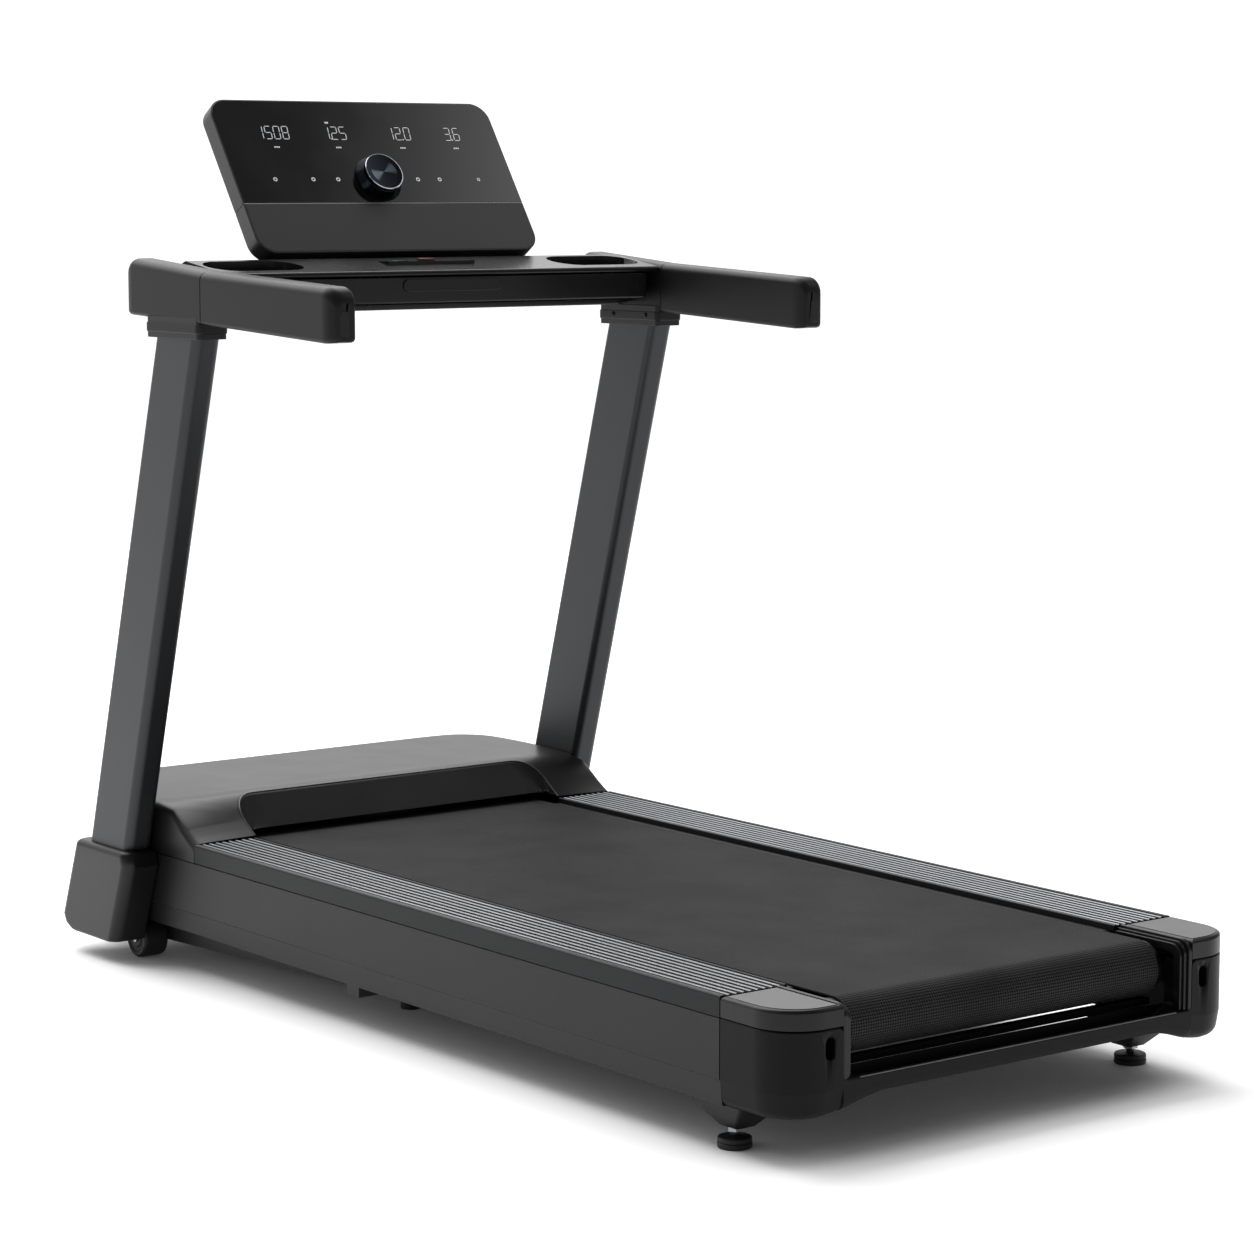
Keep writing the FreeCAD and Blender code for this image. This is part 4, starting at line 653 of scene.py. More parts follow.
# Slot liners: near-black sleeves in the two belt-adjuster slots of the rear fascia; their black is painted shade
# inside the slots.
# Each is the slot's outline moved inwards a little, with a smaller outline cut through it.
gap_painted_shade = surface("painted_shade_near_black", "#040404", "#060606", 0.6, 0.8, 0.02, 20,
                     Specular_IOR_Level=0.1)
liner_hole = solid("liner_hole", both(slab(inset(slot_outline, 1.3), on_xz, rear, rear + 30)), gap_painted_shade)
liners = solid("slot_liners", both(slab(inset(slot_outline, 0.1), on_xz, rear + 1.2, rear + 26)),
               gap_painted_shade,
               cutter=liner_hole)
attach(liners, "deck")


# Crossbar lip: a painted highlight along the upper edge of the rear crossbar, in a light satin grey.
# A thin strip let into the top edge of the moulding, between the two rails.
lip_painted_highlight = surface("crossbar_edge_painted_highlight", "#5c5d60", "#66676a", 0.4, 0.8, 0.02, 30, Specular_IOR_Level=0.3)
lip_half = 262
lip_outline = oblong(-lip_half, lip_half, rear_sill_top - 1.8, rear_sill_top + 0.15, 0.4, 0.5)
lip = solid("crossbar_lip", slab(lip_outline, on_xz, rear + 0.4, rear + 3), lip_painted_highlight)
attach(lip, "deck")


# Belt guard: a near-black bar just inside the crossbar, below the belt; its black is painted shade in the gap
# under the belt.
# One straight bar with rounded edges, carried by the deck.
guard_half = 268
guard_outline = oblong(-guard_half, guard_half, 104, 113, 2)
guard = solid("belt_guard_bar", slab(guard_outline, on_xz, rear + 53, rear + 65), gap_painted_shade)
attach(guard, "deck")


# Hood: one vacuum-smooth ABS moulding over the motor. Shoulders rise from the rails to a crowned top,
# and the middle is scooped out over the belt, with a crisp edge round the scoop.
def through(points, value):
    """A smooth line through (place, height) points."""
    if value <= points[0][0]:
        return points[0][1]
    if value >= points[-1][0]:
        return points[-1][1]
    index = max(k for k in range(len(points) - 1) if points[k][0] <= value)

    def slope(k):
        before, after = points[max(k - 1, 0)], points[min(k + 1, len(points) - 1)]
        return (after[1] - before[1]) / (after[0] - before[0])
    (start, low), (end, high) = points[index], points[index + 1]
    step = end - start
    t = (value - start) / step
    return ((2 * t ** 3 - 3 * t ** 2 + 1) * low + (t ** 3 - 2 * t ** 2 + t) * step * slope(index)
            + (3 * t ** 2 - 2 * t ** 3) * high + (t ** 3 - t ** 2) * step * slope(index + 1))


hood_low, hood_high = span("hood")
hood_rear, hood_front, hood_top = hood_low.y + 0.8, hood_high.y, hood_high.z
outer_line = [(hood_rear, rail_top + 0.5), (hood_rear + 15, rail_top + 8), (hood_rear + 35, rail_top + 20),
              (hood_rear + 53, hood_top - 22), (hood_rear + 74, hood_top - 11),
              (hood_rear + 118, hood_top - 7),
              (hood_rear + 208, hood_top - 4), (hood_front, hood_top - 2)]
inner_line = [(hood_rear, rail_top + 3), (hood_rear + 15, rail_top + 13), (hood_rear + 34, rail_top + 26.5),
              (hood_rear + 50, hood_top - 16), (hood_rear + 74, hood_top - 3.5),
              (hood_rear + 110, hood_top - 2),
              (hood_front, hood_top - 0.2)]


def hood_surface(x, y):
    """Height of the hood's outside."""
    share = min(1, max(0, (abs(x) - rail_inner + 30) / (deck_half - rail_inner + 30)))
    return through(inner_line, y) * (1 - share ** 1.4) + through(outer_line, y) * share ** 1.4


scoop_top = hood_rear + 74
scoop_corner = 44
hood_round = 12
hood_plan_corner = 64
hood_taper = 26
side_count, corner_count, middle_count = 16, 14, 30
scoop_edge, hood_edge = [], []
side_end = scoop_top - scoop_corner
for step in range(side_count):
    y = hood_rear + (side_end - hood_rear) * step / side_count
    scoop_edge.append((rail_inner, y))
    hood_edge.append((deck_half - hood_round, y, 1, 0))
corner_y = hood_front - hood_plan_corner
for step in range(corner_count):
    turn = math.pi / 2 * step / corner_count
    scoop_edge.append((rail_inner - scoop_corner * (1 - math.cos(turn)),
                       side_end + scoop_corner * math.sin(turn)))
    half = corner_count // 2
    if step < half:
        hood_edge.append((deck_half - hood_round, side_end + (corner_y - side_end) * step / half, 1, 0))
    else:
        bend = math.pi / 2 * (step - half) / (corner_count - half)
        reach = hood_plan_corner - hood_round
        hood_edge.append((deck_half - hood_plan_corner + reach * math.cos(bend),
                          corner_y + reach * math.sin(bend),
                          math.cos(bend), math.sin(bend)))
for step in range(middle_count // 2 + 1):
    share = 1 - 2 * step / middle_count
    scoop_edge.append(((rail_inner - scoop_corner) * share, scoop_top))
    hood_edge.append(((deck_half - hood_plan_corner) * share, hood_front - hood_round, 0, 1))
scoop_lip_y, scoop_lip_z = hood_rear + 26, 200
hood_lip = hood_low.z if hood_low.z > 60 else 66
hood_rows, scoop_rows, round_rows = 22, 12, 6
columns = []
for index, ((bx, by), (ox, oy, nx, ny)) in enumerate(zip(scoop_edge, hood_edge)):
    ox *= 1 - hood_taper / deck_half * min(1, max(0, (oy - 640) / 190)) ** 2
    edge = Vector((bx, by, hood_surface(bx, by)))
    share = min(1, index / (side_count + corner_count))
    lip_x = bx if index >= side_count + corner_count else rail_inner - 3 - (scoop_corner - 3) * share ** 2
    lip = Vector((lip_x, scoop_lip_y, scoop_lip_z))
    column = [lip + Vector((0, 22, -2)), lip + Vector((0, 4, -1.6)), lip + Vector((0, 0.8, -0.8))]
    hollow = 7 * (1 - abs(2 * share - 1)) if share < 1 else 0
    for step in range(scoop_rows + 1):
        t = step / scoop_rows
        point = lip.lerp(edge, t)
        point.z -= hollow * math.sin(math.pi * t) * 0.9
        column.append(point)
    for step in range(1, hood_rows + 1):
        t = step / hood_rows
        x, y = bx + (ox - bx) * t, by + (oy - by) * t
        column.append(Vector((x, y, hood_surface(x, y))))
    top = column[-1].z
    for step in range(1, round_rows + 1):
        turn = math.pi / 2 * step / round_rows
        out = hood_round * math.sin(turn)
        column.append(Vector((ox + nx * out, oy + ny * out, top - hood_round * (1 - math.cos(turn)))))
    foot = hood_lip if oy > corner_y + 0.1 else rail_seam + 0.5
    for share in (0.5, 1):
        column.append(Vector((column[-1].x, column[-1].y,
                              top - hood_round + (foot - top + hood_round) * share)))
    columns.append(column)
columns += [[Vector((-p.x, p.y, p.z)) for p in column] for column in reversed(columns[:-1])]
hood_points = [point for column in columns for point in column]
rows = len(columns[0])
hood_faces = [(c * rows + r, (c + 1) * rows + r, (c + 1) * rows + r + 1, c * rows + r + 1)
              for c in range(len(columns) - 1) for r in range(rows - 1)]
switch_low, switch_high = span("power_switch")
switch_gap = 2.4
window_outline = oblong(switch_low.x - switch_gap, switch_high.x + switch_gap, switch_low.z - switch_gap,
                        switch_high.z + switch_gap, 2)
switch_window = solid("switch_window", slab(window_outline, on_xz, switch_low.y - 12, hood_front + 12),
                      moulded_abs)
hood = solid("hood_moulded", (hood_points, hood_faces), moulded_abs, wall=2.6, sharp=28,
             cutter=switch_window)
fit(hood, "hood")


# Bead: the moulded lip that runs round the scoop, in a lighter grey that is a painted highlight along the edge.
# A round section is swept along the same line as the scoop's edge.
bead_line = [Vector((x, y, hood_surface(x, y) - 0.4)) for x, y in scoop_edge]
bead_line += [Vector((-p.x, p.y, p.z)) for p in reversed(bead_line[:-1])]
bead_start = bpy.data.meshes.new("bead_line")
bead_start.from_pydata([p * MM for p in bead_line], [(k, k + 1) for k in range(len(bead_line) - 1)], [])
bead_painted_highlight = surface("scoop_edge_painted_highlight", "#3c3c3e", "#464648", 0.28, 1.2, 0.01, 60)
bead_sizes = {"Radius": 1.2 * MM, "Material": bead_painted_highlight}
bead_tree = bpy.data.node_groups.new("edge_bead", "GeometryNodeTree")
given = tree_inputs(bead_tree, bead_sizes)
bead_curve = add(bead_tree, "GeometryNodeMeshToCurve", {"Mesh": given.outputs["Geometry"]})
bead_ring = add(bead_tree, "GeometryNodeCurvePrimitiveCircle",
                {"Resolution": 12, "Radius": given.outputs["Radius"]})
bead_sweep = add(bead_tree, "GeometryNodeCurveToMesh",
                 {"Curve": bead_curve, "Profile Curve": bead_ring, "Fill Caps": True})
closed(bead_tree, bead_sweep, given)
bead = grown("scoop_bead", bead_tree, bead_sizes, bead_start)
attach(bead, "deck")


# Deck beams: two rectangular steel tubes under the rails, powder coated.
# They are drawn as straight bars with rounded edges that end just short of the hood's front.
beam_low, beam_high = span("deck_beams")
beam_width = 44
beam_outline = oblong(beam_high.x - beam_width, beam_high.x, beam_low.z, beam_high.z, 3)
beams = solid("deck_beams_welded", both(slab(beam_outline, on_xz, beam_low.y, hood_front - 44)),
              coated_steel)
fit(beams, "deck_beams")


# Uprights: flat-oval steel tube, powder coated, leaning back towards the runner.
# Their feet stand in the boots and their tops in the collars.
up_low, up_high = span("upright_right")
lean = math.tan(math.radians(16.13))
post_depth = 114
post_inner, post_outer = up_low.x, up_high.x
foot_front = up_high.y


def post_front(height):
    """The uprights' front edge at a height."""
    return foot_front - lean * (height - up_low.z)


post_ring = rounded([(post_inner, -post_depth, 11), (post_outer, -post_depth, 13), (post_outer, 0, 13),
                     (post_inner, 0, 11)], steps=8)
posts = loft([[Vector((p.x, post_front(z) + p.y, z)) for p in post_ring] for z in (up_low.z, up_high.z)])
each_side("upright_tube_", posts, metallic_coat, "upright_")


# Boots: deep moulded covers over the uprights' feet, with a soft rolled top edge and rounded corners.
boot_low, boot_high = span("boots")
boot_in, boot_out = post_inner + 0.2, boot_high.x
boot_rear = [(boot_low.z, boot_low.y + 46), (boot_low.z + 8, boot_low.y + 42),
             (boot_high.z - 22, boot_low.y),
             (boot_high.z, boot_low.y + 8)]
boot_front = [(boot_low.z, boot_high.y - 27), (boot_low.z + 10, boot_high.y - 6),
              (boot_low.z + 22, boot_high.y),
              (boot_high.z, boot_high.y - 45)]


def between(points, value):
    """Straight-line reading of (place, height) points."""
    for (start, low), (end, high) in zip(points, points[1:]):
        if value <= end:
            return low + (high - low) * max(0, value - start) / (end - start)
    return points[-1][1]


boot_rings = []
boot_roll = 10
levels = [boot_low.z + 4 * (1 - math.cos(math.pi / 2 * k / 4)) for k in range(5)]
levels += [boot_low.z + 10, boot_low.z + 22, boot_high.z - 40, boot_high.z - 22, boot_high.z - boot_roll]
for k, z in enumerate(levels):
    shrink = 4 * (1 - math.sin(math.pi / 2 * min(k, 4) / 4))
    boot_rings.append((z, shrink))
for k in range(1, 7):
    turn = math.pi / 2 * k / 6
    boot_rings.append((boot_high.z - boot_roll * (1 - math.sin(turn)), boot_roll * (1 - math.cos(turn))))
rings = []
for z, shrink in boot_rings:
    back, ahead = between(boot_rear, z), between(boot_front, z)
    if z > boot_high.z - boot_roll:
        back, ahead = between(boot_rear, boot_high.z - boot_roll), between(boot_front,
                                                                           boot_high.z - boot_roll)
    soft = 17 - shrink * 0.6
    outline = rounded([(boot_in, back + shrink, 2), (boot_out - shrink, back + shrink, soft),
                       (boot_out - shrink, ahead - shrink, soft), (boot_in, ahead - shrink, 2)], steps=8)
    rings.append([on_xy(*p, z) for p in outline])
boots = solid("upright_boots", both(loft(rings)), moulded_abs, sharp=40)
fit(boots, "boots")


# Collars: soft polyurethane sleeves round the uprights' heads, where the arms begin.
# Each is a plate with rounded corners and a rounded lower edge.
collar_low, collar_high = span("collars")
collar_outline = [(post_inner - 2.6, collar_low.y, 8), (collar_high.x, collar_low.y, 10),
                  (collar_high.x, collar_high.y, 10), (post_inner - 2.6, collar_high.y, 8)]
soft_grip = surface("soft_polyurethane_skin", "#111112", "#151516", 0.42, 0.7, 0.05, 70,
                    Specular_IOR_Level=0.2)
collars = solid("upright_collars", both(slab(collar_outline, on_xy, collar_low.z, collar_high.z, 3, 0.6)),
                soft_grip)
fit(collars, "collars")


# Collar necks: the powder-coated steel that shows as a thin step above and below each collar.
# The collar's own outline, moved inwards a little and made longer.
necks = solid("collar_necks", both(slab(inset(collar_outline, 1.5), on_xy, collar_low.z - 7,
                                        collar_high.z + 9, 1, 0)), coated_steel)
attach(necks, "base")


# Arms: moulded covers over the uprights' heads in a soft polyurethane skin, with a rounded front end.
# Rounded sections are lofted forwards from the seam, and the last ones shrink and droop.
arm_low, arm_high = span("arm_covers")
grip_low, grip_high = span("grip_right")
arm_in, arm_out = grip_low.x, grip_high.x
seam_y = arm_low.y
bar_front = arm_high.y
grip_end = grip_low.y
seam_bottom, seam_top = arm_low.z, grip_high.z
front_bottom, front_top = arm_low.z + 8, arm_high.z
end_bottom = grip_low.z
end_top = end_bottom + 74


def bar_ring(y, bottom, top, tight=0.0, droop=0.0):
    """Section of an arm at one place: wide soft top edges and a tighter underside."""
    return [on_xz(*p, y) for p in rounded([
        (arm_in + tight * 0.6, bottom + tight * 0.3, 5), (arm_out - tight, bottom + tight * 0.3, 6),
        (arm_out - tight, top - droop, 14), (arm_in + tight * 0.6, top - droop, 11)], steps=7)]


def bar_end(place, way, bottom, top, reach, side_round, steps=9):
    """Rings that close an arm with a rounded end."""
    rings = []
    for step in range(steps + 1):
        turn = math.pi / 2 * step / steps
        y = place - way * reach * (1 - math.sin(turn))
        rings.append(bar_ring(y, bottom, top, side_round * (1 - math.cos(turn)),
                              reach * 0.9 * (1 - math.cos(turn))))
    return rings


arm_rings = [bar_ring(seam_y + 0.5, seam_bottom, seam_top, 0.7),
             bar_ring(seam_y + 1.2, seam_bottom, seam_top)]
arm_rings += bar_end(bar_front, 1, front_bottom, front_top, 24, 12)
arms = solid("arm_covers_moulded", both(loft(arm_rings)), soft_grip, sharp=40)
fit(arms, "arm_covers")


# Grips: soft polyurethane skins on the arms' section, parted from the covers by a fine seam.
# They run rearwards from the seam and close with the same rounded end.
grip_rings = [bar_ring(seam_y - 0.5, seam_bottom, seam_top, 0.7),
              bar_ring(seam_y - 1.2, seam_bottom, seam_top)]
grip_rings += bar_end(grip_end, -1, end_bottom, end_top, 24, 13)
grips = loft(grip_rings)
each_side("grip_skin_", grips, soft_grip, "grip_", sharp=40)


# Grip plugs: small oval ABS caps in the ends of the grips.
# One oval plate each, with a rounded outer edge.
plug_mid = (arm_in + arm_out) / 2 + 1
plug_outline = oblong(plug_mid - 7, plug_mid + 7, end_bottom + 9, end_bottom + 43, 5, 6.6)
plugs = solid("grip_end_plugs", both(slab(plug_outline, on_xz, grip_end - 0.5, grip_end + 4, 0.8, 0)),
              moulded_abs)
fit(plugs, "grip_plugs")


# Tray: a moulded shelf between the arms. Its top rises to the console and holds two wells, its lip runs
# the full width, and the deep front box below ends in rounded corners short of the arms.
tray_low, tray_high = span("tray_top")
shelf_rear = tray_low.y
shelf_front = tray_high.y
shelf_low = tray_low.z
shelf_half = tray_high.x - 0.3
shelf_section = [
    (shelf_rear, shelf_low + 40, 2.5), (shelf_rear + 0.5, shelf_low + 46.5, 4),
    (shelf_front - 94, tray_high.z, 6),
    (shelf_front - 70, shelf_low + 54, 10), (shelf_front, shelf_low + 54, 3),
    (shelf_front, shelf_low + 30, 2),
    (shelf_front - 60, shelf_low + 30, 3), (shelf_rear + 30, shelf_low + 34, 2)]
shelf = slab(shelf_section, on_yz, -shelf_half, shelf_half, 1, 1)
box_outline = [(-366, shelf_rear + 1.5, 20), (366, shelf_rear + 1.5, 20), (374, shelf_front - 40, 20),
               (-374, shelf_front - 40, 20)]
box_half = slab(box_outline, on_xy, shelf_low, shelf_low + 37, 3, 1)
back_box = slab(oblong(-shelf_half, shelf_half, shelf_rear + 62, shelf_front, 4), on_xy, shelf_low + 2,
                shelf_low + 37, 3, 1)
well_mid, well_y, well_radius, well_run = 297, shelf_rear + 59.7, 38, 38
well_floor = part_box("tray_top")[1].z / MM - 33


def well_cutter():
    """The hollow of both wells: a long oval with sides that curve in to its floor."""
    left, right = well_mid - well_run - well_radius, well_mid + well_run + well_radius
    outline = oblong(left, right, well_y - well_radius, well_y + well_radius, well_radius - 1)
    return both(slab(outline, on_xy, well_floor, tray_high.z + 20, 12, 0, 6, 10))


wells = solid("well_cutter", well_cutter(), moulded_abs)
gloss_abs = surface("semi_gloss_black_abs", "#121213", "#161617", 0.26, 1.0, 0.02, 70,
                    Specular_IOR_Level=0.22)
tray = solid("console_tray", shelf, gloss_abs, cutter=wells)
fit(tray, "tray_top")


# Tray box: the deep moulded box under the shelf, a front part with rounded corners and a back part.
# Both are plates in the shelf's ABS, with the wells cut through them.
wells_below = solid("well_cutter_low", well_cutter(), moulded_abs)
tray_box = solid("console_tray_box", box_half, gloss_abs, cutter=wells_below)
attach(tray_box, "base")
tray_back = solid("console_tray_back", back_box, gloss_abs, cutter=solid("well_cutter_back", well_cutter(),
                                                                         moulded_abs))
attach(tray_back, "base")


# Tray floor cover: the moulded lid that closes the box from below, in the same ABS.
# One plate that narrows towards the runner, with its lower edge rounded.
under_low, under_high = span("tray_underside")
under = solid("tray_floor_cover", slab([
    (-306, under_low.y, 12), (306, under_low.y, 12), (378, under_low.y + 70, 8), (378, under_high.y, 6),
    (-378, under_high.y, 6), (-378, under_low.y + 70, 8)], on_xy, under_low.z, under_high.z - 0.8, 2.5,
    0.8), gloss_abs)
fit(under, "tray_underside")


# Port flap: a small ABS cover with round ends on the tray's rear face.
# One oval plate with a rounded rear edge.
port_low, port_high = span("tray_port_cover")
port = solid("tray_port_flap", slab(oblong(port_low.x, port_high.x, port_low.z, port_high.z, 8.5), on_xz,
                                    port_low.y + 0.4, port_high.y + 3, 0.8, 0), gloss_abs)
fit(port, "tray_port_cover")


# Console shell: moulded satin ABS behind the display glass and the lower panel.
# Two plates with rounded corners meet at a fine groove, in line with the joint of glass and panel.
dial_joint = [joint for joint in frame["joints"] if joint["name"] == "dial_turn"][0]
outwards = Vector(dial_joint["axis"]).normalized()
upwards = outwards.cross(Vector((1, 0, 0))).normalized()
dial_up = 42
face_joint = Vector(dial_joint["pos_m"]) / MM - upwards * dial_up


def on_face(x, up, out):
    """A point x across, up the face from the glass and panel joint, and out of the face."""
    return face_joint + Vector((x, 0, 0)) + upwards * up + outwards * out


console_half = span("console_shell")[1].x
glass_top, panel_low = 181, -84
console_thick, console_corner = 30, 30
satin_abs = surface("satin_abs_console", "#232325", "#28282a", 0.36, 1.1, 0.03, 90)
shell_parts = []
for low, high, soft_low, soft_high in ((panel_low, -0.35, console_corner, 0.6),
                                       (0.35, glass_top, 0.6, console_corner)):
    outline = oblong(-console_half, console_half, low, high, soft_low, soft_high)
    shell_parts.append(slab(outline, on_face, -console_thick, -0.5, 4, 1.4, bend=12))
shell = solid("console_shell_moulded", joined(*shell_parts), satin_abs)
fit(shell, "console_shell")


# Display glass: hardened black glass over the console's upper part, faintly smeared.
# A thin plate inside the shell's rim, with a fine rounded edge.
black_glass = blank("hardened_black_glass")
coordinates = add(black_glass, "ShaderNodeTexCoord")
smears = add(black_glass, "ShaderNodeTexNoise", {"Vector": coordinates.outputs["Object"], "Scale": 14,
                                                 "Detail": 3})
gloss = add(black_glass, "ShaderNodeMapRange", {"Value": smears.outputs["Fac"], "To Min": 0.05,
                                                "To Max": 0.14})
ink = blended(black_glass, smears.outputs["Fac"], "#040405", "#060607")
shaded(black_glass, Base_Color=ink, Roughness=gloss, IOR=1.52)
rim_width = 2.2
plate_half = console_half - rim_width
plate_corner = console_corner - rim_width
glass = solid("display_glass", slab(oblong(-plate_half, plate_half, 0.6, glass_top - rim_width, 0.5,
                                           plate_corner),
                                    on_face, -2, 0, 0, 0.5, bend=12), black_glass)
fit(glass, "console_glass")


# Lower panel: satin painted ABS below the glass.
# A thin plate of the same width, with rounded lower corners.
satin_panel = surface("satin_painted_abs_panel", "#1b1b1d", "#202022", 0.36, 1.3, 0.03, 90)
panel = solid("console_lower_panel", slab(oblong(-plate_half, plate_half, panel_low + rim_width, -0.6,
                                                 plate_corner, 0.5), on_face, -2, 0, 0, 0.6, bend=12),
                                                 satin_panel)
fit(panel, "console_panel")


# Trim: a bright hairline at the joint between glass and panel; its brightness is a painted highlight in a satin
# metal colour.
# A straight strip, barely proud of the glass.
joint_painted_highlight = surface("joint_line_painted_highlight", "#8e8f92", "#9b9c9f", 0.45, 1.0, 0.01, 30, metallic=0.7)
joint_highlight_half = console_half - 1.2
joint_highlight_strip = solid("console_joint_highlight", slab(oblong(-joint_highlight_half, joint_highlight_half, -0.9, 0.3, 0.3), on_face, -1, 0.15),
             joint_painted_highlight)
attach(joint_highlight_strip, "base")


# Display: light-emitting segments behind the glass, thin and slanted, with short bars for the small
# captions and plain rings and squares for the touch keys. They shine a cool white.
lit_segment = blank("lit_segment_white")
shaded(lit_segment, Base_Color=linear("#8c8e92"), Roughness=0.4, Emission_Color=linear("#e4e6ea"),
       Emission_Strength=0.62)
SEGMENTS = {"0": "abcdef", "1": "bc", "2": "abged", "3": "abgcd", "5": "afgcd", "6": "afgedc",
            "8": "abcdefg"}
digit_width, digit_height, stroke, slant = 10, 22, 1.0, 0.12


def bar_between(start, end, width):
    """A thin pointed bar on the glass from one point to another."""
    along_bar = (end - start).normalized()
    aside = Vector((-along_bar.y, along_bar.x)) * width / 2
    tip = along_bar * width / 2
    outline = [start, start + tip + aside, end - tip + aside, end, end - tip - aside, start + tip - aside]
    return [Vector((p.x + p.y * slant, p.y)) for p in outline]


def digit(character, left, base):
    """The lit bars of one seven-segment figure."""
    w, h = digit_width, digit_height
    ends = {"a": ((0, h), (w, h)), "b": ((w, h), (w, h / 2)), "c": ((w, h / 2), (w, 0)),
            "d": ((0, 0), (w, 0)),
            "e": ((0, h / 2), (0, 0)), "f": ((0, h), (0, h / 2)), "g": ((0, h / 2), (w, h / 2))}
    made = []
    for segment in SEGMENTS[character]:
        start, end = (Vector(p) for p in ends[segment])
        gap = (end - start).normalized() * 0.7
        made.append([Vector((left + p.x, base + p.y)) for p in bar_between(start + gap, end - gap, stroke)])
    return made


def dot(x, up, radius):
    """A small round outline."""
    return [Vector((x + radius * math.cos(k * math.pi / 6), up + radius * math.sin(k * math.pi / 6)))
            for k in range(12)]


lit = []
figures_base = 112
for text, left in (("1508", -182), ("125", -68), ("120", 45), ("36", 149)):
    x = left
    for place, character in enumerate(text):
        lit += digit(character, x, figures_base)
        x += digit_width + 4.6
        if (text, place) in (("125", 0),):
            lit.append(dot(x - 1.2, figures_base + 0.5, 1.1))
        if (text, place) in (("120", 1), ("36", 0)):
            lit.append(dot(x - 2.6, figures_base + 0.5, 1.1))
            x += 1.5
    middle = (left + x) / 2 - 2
    for place in range(3):
        low = middle - 4.8 + place * 3.4
        lit.append([Vector(p) for p in ((low, 96.4), (low + 2.1, 96.4), (low + 2.4, 98.8),
                                        (low + 0.3, 98.8))])
for x in (-57, -53.6):
    lit.append([Vector(p) for p in ((x, 140), (x + 2.3, 140), (x + 2.5, 143), (x + 0.2, 143))])
key_height = 41.5
rings_lit = []
for place, x in enumerate((-178, -113, -70, 71, 110, 181)):
    inner, outer = 2.0, 3.3
    sides = 4 if place == 5 else 16
    turn = math.pi / 4 if sides == 4 else 0
    for k in range(sides):
        a, b = turn + 2 * math.pi * k / sides, turn + 2 * math.pi * (k + 1) / sides
        rings_lit.append([Vector((x + r * math.cos(t), key_height + r * math.sin(t)))
                          for r, t in ((inner, a), (outer, a), (outer, b), (inner, b))])
segments = solid("display_segments", joined(*[slab([(*p, 0) for p in outline], on_face, -0.4, 0.12)
                                              for outline in lit + rings_lit]),
                 lit_segment)
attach(segments, "base")


# Dial: turned aluminium, anodised near black. The cap is spun to a fine circular grain, with bright spokes of
# painted sheen in its colour and a bright chamfer, and stands on a wider foot that flares to the glass.
def turned(profile, place, sides=96):
    """A shape of revolution from (radius, height) points; place(x, up, out) sets it down."""
    rings = [[place(radius * math.cos(2 * math.pi * k / sides), radius * math.sin(2 * math.pi * k / sides),
                    height)
              for k in range(sides)] for radius, height in profile]
    return loft(rings)


spun_metal_and_painted_sheen = blank("spun_aluminium_with_painted_sheen")
spin_uv = add(spun_metal_and_painted_sheen, "ShaderNodeUVMap", uv_map="spin")
round_way = add(spun_metal_and_painted_sheen, "ShaderNodeSeparateXYZ", {"Vector": spin_uv.outputs["UV"]})
# Painted sheen: light spokes are painted into the cap's colour by angle, standing in for the spun metal's
# reflection.
sweep = reckoned(spun_metal_and_painted_sheen, "MULTIPLY", round_way.outputs["X"], 4 * math.pi)
offset_sweep = reckoned(spun_metal_and_painted_sheen, "ADD", sweep, 0.9)
wave = reckoned(spun_metal_and_painted_sheen, "SINE", offset_sweep)
painted_sheen = eased(spun_metal_and_painted_sheen, wave, 0.35, 1.0, 0.0, 1.0)
cap_place = reckoned(spun_metal_and_painted_sheen, "LESS_THAN", round_way.outputs["Y"], 0.297)
painted_sheen_on_cap = reckoned(spun_metal_and_painted_sheen, "MULTIPLY", painted_sheen, cap_place)
tone = blended(spun_metal_and_painted_sheen, painted_sheen_on_cap, "#1c2026", "#59616b")
turning = add(spun_metal_and_painted_sheen, "ShaderNodeTexWave", {"Vector": spin_uv.outputs["UV"], "Scale": 180,
                                                    "Distortion": 0.5},
              bands_direction="Y")
grooves = add(spun_metal_and_painted_sheen, "ShaderNodeBump", {"Height": turning.outputs["Fac"], "Strength": 0.1,
                                                 "Distance": 0.02 * MM})
shaded(spun_metal_and_painted_sheen, Base_Color=tone, Metallic=1, Roughness=0.22, Normal=grooves)
dial_profile = [(37.8, 0.4), (38, 1.5), (36.8, 5), (34.6, 9), (33.2, 12), (32.2, 14.2), (31.9, 14.6),
                (31.4, 14.9),
                (31.2, 15.4), (31.2, 18.9), (31.0, 19.6), (30.2, 20.6), (29.6, 20.9), (29.2, 20.5),
                (28.8, 20.3),
                (22, 20.0), (14, 19.8), (7, 19.65), (1.5, 19.6)]
dial = solid("dial_turned", turned(dial_profile, lambda x, up, out: on_face(x, up + dial_up, out)),
             spun_metal_and_painted_sheen,
             sharp=25)
spin = dial.data.uv_layers.new(name="spin")
dial_centre = on_face(0, dial_up, 0) * MM
for loop in dial.data.loops:
    offset = dial.data.vertices[loop.vertex_index].co - dial_centre
    angle = math.atan2(offset.dot(upwards), offset.x) / (2 * math.pi)
    spin.data[loop.index].uv = (angle % 1.0, offset.length * 10)
for polygon in dial.data.polygons:
    values = [spin.data[index].uv[0] for index in polygon.loop_indices]
    if max(values) - min(values) > 0.5:
        for index in polygon.loop_indices:
            if spin.data[index].uv[0] < 0.5:
                spin.data[index].uv[0] += 1
fit(dial, "dial")


